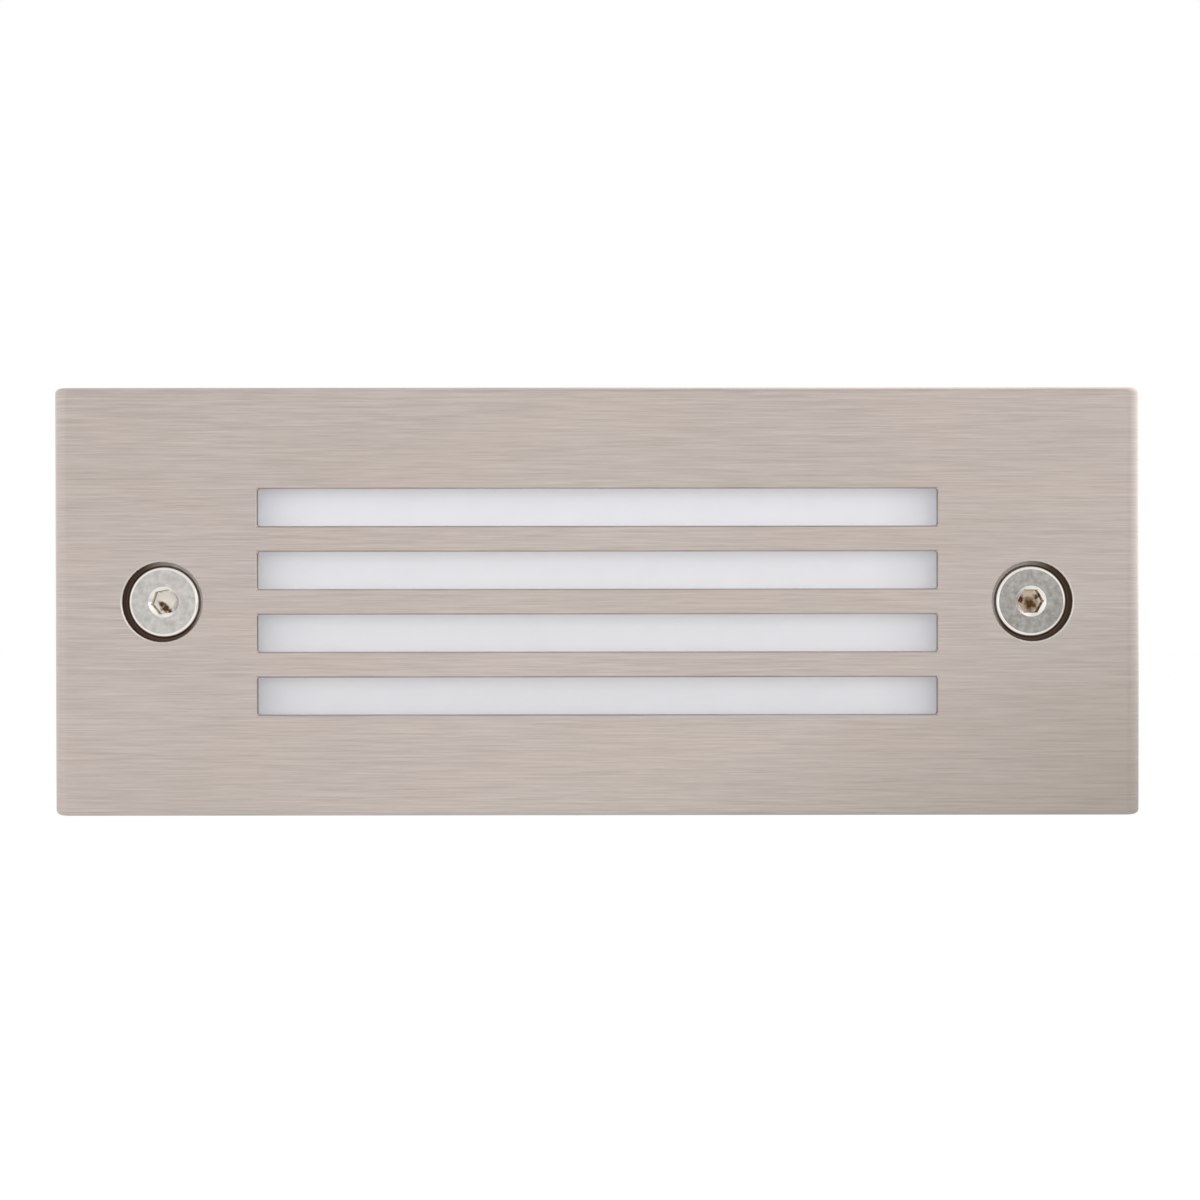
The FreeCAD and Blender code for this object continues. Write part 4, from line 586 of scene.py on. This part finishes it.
# %% The finishes
finishes = {
    # folded sheet, brushed lengthways: soft level streaks
    "brushed_stainless": make_brushed_stainless(),
    # bar turned and polished: bright, with hair-fine rings
    "polished_stainless": make_turned("turned_stainless", "#a8a5a1", "#c9c6c2", 0.22),
    "brass": make_turned("turned_brass", "#c49a52", "#dcb56c", 0.3),
    # EPDM foam: near black, coarse and quite dull
    "black_rubber": make_moulded("foam_rubber", "#17181a", "#222325", 0.85, 0.6, 0.08, IOR=1.5),
    # moulded silicone: pale, waxy and smooth
    "clear_silicone": make_moulded("silicone_rubber", "#c2c2bd", "#d2d2cd", 0.5, 1.2, 0.02, IOR=1.41),
    # silicone filled with ceramic dust: bluish and dry
    "thermal_pad": make_moulded("heat_pad", "#7d93a8", "#8ea2b4", 0.7, 0.4, 0.03, IOR=1.45),
    # moulded nylon with glass fibre: charcoal, with a dry sheen
    "black_plastic": make_moulded("glass_filled_nylon", "#1d1e20", "#2a2b2d", 0.55, 0.45, 0.03, IOR=1.53),
    # blasted die casting: light grey and frosty
    "cast_aluminium": make_moulded("die_cast_aluminium", "#a9aaac", "#bcbdbf", 0.5, 0.7, 0.04, Metallic=1.0),
    # cast acrylic sheet: milky and softly glossy
    "opal_plastic": make_opal_acrylic(),
    # moulded polycarbonate: clean white with a gloss
    "white_plastic": make_moulded("white_polycarbonate", "#e2e2df", "#ecece9", 0.3, 1.0, 0.01, IOR=1.58),
    # moulded polyamide: mid grey and satin
    "grey_plastic": make_moulded("grey_polyamide", "#8a8c8e", "#989a9c", 0.5, 0.4, 0.02, IOR=1.53),
    # lacquer on a circuit board: smooth warm white
    "white_board": make_moulded("white_solder_mask", "#e6e6e2", "#eeeeea", 0.35, 0.8, 0.01, IOR=1.55),
    "led_yellow": make_led("led_phosphor"),
    # plated steel: pale blue-grey, in small bright flecks
    "zinc_steel": make_moulded("zinc_plated_steel", "#a5a7aa", "#c2c4c6", 0.28, 0.4, 0.01, 3, Metallic=1.0),
    # extruded PVC: even colour with a soft gloss
    "red_lead": make_moulded("red_pvc", "#a31f1c", "#b52b26", 0.4, 0.5, 0.01, IOR=1.53),
    "black_lead": make_moulded("black_pvc", "#1a1a1b", "#262627", 0.4, 0.5, 0.01, IOR=1.53),
    "brown_lead": make_moulded("brown_pvc", "#5a3420", "#683f28", 0.4, 0.5, 0.01, IOR=1.53),
    "blue_lead": make_moulded("blue_pvc", "#1c4f94", "#2a60a6", 0.4, 0.5, 0.01, IOR=1.53),
    "green_lead": make_earth_pvc("green_yellow_pvc"),
}
print("finishes:", len(finishes))

# %% [markdown]
# ## Dressing the parts
# A part brought in from CAD has one material, named for its finish. Only that material is exchanged, and the
# mesh stays as it is. The two cups get a steel of their own, because each has its painted shade on another
# side.

# %% Give each part its finish
def middle_of(node):
    low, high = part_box(node)
    return (low + high) / 2 / MM


slots = {}
for name, part in parts.items():
    slots[name] = part.data.materials[0].name.split(".")[0]
    part.data.materials[0] = finishes[slots[name]]
for side in ("left", "right"):
    cup = f"screw_cup_{side}"
    parts[cup].data.materials[0] = make_cup_steel(side, middle_of(cup))
print("dressed:", len(slots), "of", len(parts))

# %% [markdown]
# ## The shape of a cover screw
# Each is a stainless M8 countersunk screw with a hexagon socket. The picture shows a satin face, a rounded
# rim that shines, and a bright cone round the mouth of the socket, where the cone and the six flats meet in
# six small arcs. The CAD screw is right in size but has no thread, so a new mesh stands for it. It is made of
# rings of points, and each ring is two small functions of the angle round the axis: how far out it is, and
# how deep. Round rings, six-sided ones in the socket, and rings that follow the thread all fit that.

# %% The rings of a cover screw
HEAD_TOP = -4.4
SOCKET_FLAT = 2.5
SOCKET_FLOOR = 3.0
SOCKET_TIP = 4.0
MOUTH_RADIUS = 3.3
MOUTH_SLOPE = 0.75
HEAD_RADIUS = 7.7
RIM_DEPTH = 1.0
HEAD_PROFILE = [(MOUTH_RADIUS, 0.0), (MOUTH_RADIUS + 0.06, 0.0), (5.2, 0.0), (6.85, 0.0), (7.0, 0.012),
                (7.2, 0.05), (7.4, 0.12), (7.6, 0.24), (7.74, 0.42), (7.78, 0.6), (7.7, 0.95), (7.62, 1.08)]
SHANK_RADIUS = 4.0
THREAD_ROOT = 3.45
THREAD_START = 2.6
THREAD_RUN_OUT = 0.4
PITCH = 1.25
STEPS_PER_PITCH = 6
TIP_CHAMFER = 0.5
SCREW_TIP = 25.6


def hexagon_radius(angle, turn):
    return SOCKET_FLAT / math.cos((angle - turn) % (math.pi / 3) - math.pi / 6)


def thread_radius(angle, y):
    turn = (y / PITCH - angle / (2 * math.pi)) % 1
    ridge = max(0.0, min(1.0, 1.6 - 4.2 * abs(turn - 0.5)))       # 1 on the crest, 0 in the root
    fade = min(1.0, (y - THREAD_START) / PITCH, (SCREW_TIP - y) / PITCH)
    root = SHANK_RADIUS + (THREAD_ROOT - SHANK_RADIUS) * min(1.0, (y - THREAD_START) / (PITCH / 2))
    return root + (SHANK_RADIUS - root) * ridge * max(0.0, fade)


def plain_ring(radius, y):
    return lambda angle: radius, lambda angle: y


def cover_screw_rings(turn):
    def flats(angle):
        return hexagon_radius(angle, turn)
    rings = [
        (lambda angle: 0.96 * flats(angle), lambda angle: HEAD_TOP + SOCKET_FLOOR + 0.1),
        (flats, lambda angle: HEAD_TOP + SOCKET_FLOOR),
        (flats, lambda angle: HEAD_TOP + (MOUTH_RADIUS - flats(angle)) * MOUTH_SLOPE),
    ]
    rings += [plain_ring(radius, HEAD_TOP + depth) for radius, depth in HEAD_PROFILE]
    cone_end = HEAD_TOP + RIM_DEPTH + HEAD_RADIUS - SHANK_RADIUS
    rings += [plain_ring(SHANK_RADIUS, cone_end), plain_ring(SHANK_RADIUS, THREAD_START)]
    steps = int((SCREW_TIP - THREAD_START - THREAD_RUN_OUT) / PITCH * STEPS_PER_PITCH)
    for step in range(1, steps + 1):
        y = THREAD_START + step * PITCH / STEPS_PER_PITCH
        rings.append((lambda angle, y=y: thread_radius(angle, y), lambda angle, y=y: y))
    return rings + [plain_ring(THREAD_ROOT - TIP_CHAMFER, SCREW_TIP)]


print("rings in a screw:", len(cover_screw_rings(0)))

# %% [markdown]
# ## From rings to a mesh
# The rings become a mesh as on a lathe: a row of points for each ring, a four-sided face between each pair of
# neighbours, and a fan of triangles to a point at both ends. Edges that turn by more than 28 degrees stay
# sharp, such as the corners of the socket, and all others are shaded smooth.

# %% Make the cover screws
SCREW_SIDES = 96
SHARP_TURN = 28
# Painted light: the left head is painted lighter than the right, for the brighter reflection it shows.
HEAD_TONES_WITH_PAINTED_LIGHT = {"left": ("#b2aeaa", "#d6d2ce"), "right": ("#8f8b85", "#bdb9b5")}
SOCKET_TURN = {"left": math.radians(11), "right": 0.0}


def lathe(name, rings, centre, sides, start_y, end_y):
    mesh = bmesh.new()
    rows = []
    for radius, level in rings:
        row = []
        for side in range(sides):
            angle = 2 * math.pi * side / sides
            aside = radius(angle) * math.cos(angle)
            up = radius(angle) * math.sin(angle)
            row.append(mesh.verts.new(Vector((centre.x + aside, level(angle), centre.z + up)) * MM))
        rows.append(row)
    for one, two in zip(rows, rows[1:]):
        for side in range(sides):
            after = (side + 1) % sides
            mesh.faces.new((one[side], one[after], two[after], two[side]))
    for row, level in ((rows[0], start_y), (rows[-1], end_y)):
        tip = mesh.verts.new(Vector((centre.x, level, centre.z)) * MM)
        for side in range(sides):
            mesh.faces.new((tip, row[side], row[(side + 1) % sides]))
    bmesh.ops.recalc_face_normals(mesh, faces=mesh.faces)
    for face in mesh.faces:
        face.smooth = True
    for edge in mesh.edges:
        edge.smooth = edge.calc_face_angle(0) < math.radians(SHARP_TURN)
    data = bpy.data.meshes.new(name)
    mesh.to_mesh(data)
    mesh.free()
    made = bpy.data.objects.new(name, data)
    scene.collection.objects.link(made)
    return made


for side in ("left", "right"):
    node = f"cover_screw_{side}"
    centre = middle_of(node)
    screw = lathe(f"{side}_cover_screw", cover_screw_rings(SOCKET_TURN[side]), centre, SCREW_SIDES,
                  HEAD_TOP + SOCKET_TIP, SCREW_TIP)
    screw.data.materials.append(make_screw_steel(side, *HEAD_TONES_WITH_PAINTED_LIGHT[side], centre.x))
    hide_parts(node)
    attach(screw, f"{side}_screw")
    print(screw.name, "faces:", len(screw.data.polygons))

# %% [markdown]
# ## The leads inside the module
# Short insulated leads join the board, the driver and the terminals. Each could be a swept mesh, but a curve
# with a round section is simpler: its few control points are the corners of the lead's route, and the spline
# between them bends as softly as the wire does.

# %% Lay the leads
LED_LEAD, MAINS_LEAD = 1.4, 2.2
ROUND_STEPS = 6
SPLINE_STEPS = 16


def led_route(z):
    return [(64.5, 19.9, z), (64.5, 16.3, z), (70, 16.3, z), (70, 36, z), (46, 36, z)]


def mains_route(terminal_z, driver_z):
    return [(-63.5, 31, terminal_z), (-54.15, 31, terminal_z), (-49.1, 36.5, driver_z), (-44, 36.5, driver_z)]


lead_routes = {
    "led_lead_plus": (LED_LEAD, led_route(1.2)),
    "led_lead_minus": (LED_LEAD, led_route(-1.2)),
    "live_lead": (MAINS_LEAD, mains_route(0, 0)),
    "neutral_lead": (MAINS_LEAD, mains_route(-8, -5.6)),
    "earth_lead": (MAINS_LEAD, [(-63.5, 31, 8), (-49, 31, 8), (-49, 27.6, 14.8), (-49, 27.6, 18)]),
}
for node, (diameter, route) in lead_routes.items():
    path = bpy.data.curves.new(f"{node}_wire", "CURVE")
    path.dimensions = "3D"
    path.bevel_depth = diameter / 2 * MM
    path.bevel_resolution = ROUND_STEPS
    path.use_fill_caps = True
    spline = path.splines.new("NURBS")
    spline.points.add(len(route) - 1)
    for point, place in zip(spline.points, route):
        point.co = (*(Vector(place) * MM), 1)
    spline.order_u = 3
    spline.use_endpoint_u = True
    spline.resolution_u = SPLINE_STEPS
    wire = bpy.data.objects.new(f"{node}_wire", path)
    scene.collection.objects.link(wire)
    path.materials.append(finishes[slots[node]])
    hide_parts(node)
    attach(wire, "lamp_module")
print("leads:", len(lead_routes))

# %% [markdown]
# ## Edges that catch the light
# A real edge is never sharp: deburring leaves a round of a tenth of a millimetre or two, a mould more, and
# it shows as a bright line. Four modifiers round the edges of a CAD part without touching its mesh. The
# first welds the corners that the CAD export split, the second joins the triangles of each flat face, since
# slivers would fold under a round, the third is the round itself, and the last keeps the large flat faces
# looking flat beside it. Corners are mitred sharp, because rounded ones cross where two cuts lie close.

# %% Round the edges
WELD_REACH = 0.001
FLAT_TURN = 0.5
EDGE_TURN = 40


def round_edges(name, radius_mm, segments=2, profile=0.5):
    part = parts[name]
    weld = part.modifiers.new("weld", "WELD")
    weld.merge_threshold = WELD_REACH * MM
    flatten = part.modifiers.new("join_flat_faces", "DECIMATE")
    flatten.decimate_type = "DISSOLVE"
    flatten.angle_limit = math.radians(FLAT_TURN)
    bevel = part.modifiers.new("edge_round", "BEVEL")
    bevel.width = radius_mm * MM
    bevel.segments = segments
    bevel.profile = profile
    bevel.limit_method = "ANGLE"
    bevel.angle_limit = math.radians(EDGE_TURN)
    bevel.miter_outer = "MITER_SHARP"
    bevel.loop_slide = False
    bevel.use_clamp_overlap = False
    even = part.modifiers.new("even_shading", "WEIGHTED_NORMAL")
    even.weight = 100
    even.keep_sharp = False


rounds = {
    0.2: ["face_gasket", "gland_body", "gland_locknut", "gland_nut", "insert_left", "insert_right",
          "lens_frame", "lead_grommet", "side_entry_plug", "diffuser"],
    0.1: ["lamp_housing", "screw_cup_left", "screw_cup_right", "terminal_block", "led_board", "earth_tag",
          "thermal_pad", "reflector", "board_screw_left", "board_screw_right", "driver_screw_left",
          "driver_screw_right", "earth_screw",
          *[f"module_screw_{n}" for n in range(1, 5)], *[f"led_chip_{n}" for n in range(1, 13)]],
}
for radius, names in rounds.items():
    for name in names:
        round_edges(name, radius)
round_edges("face_plate", 0.35, segments=4, profile=0.25)
print("rounded:", 1 + sum(len(names) for names in rounds.values()), "parts")
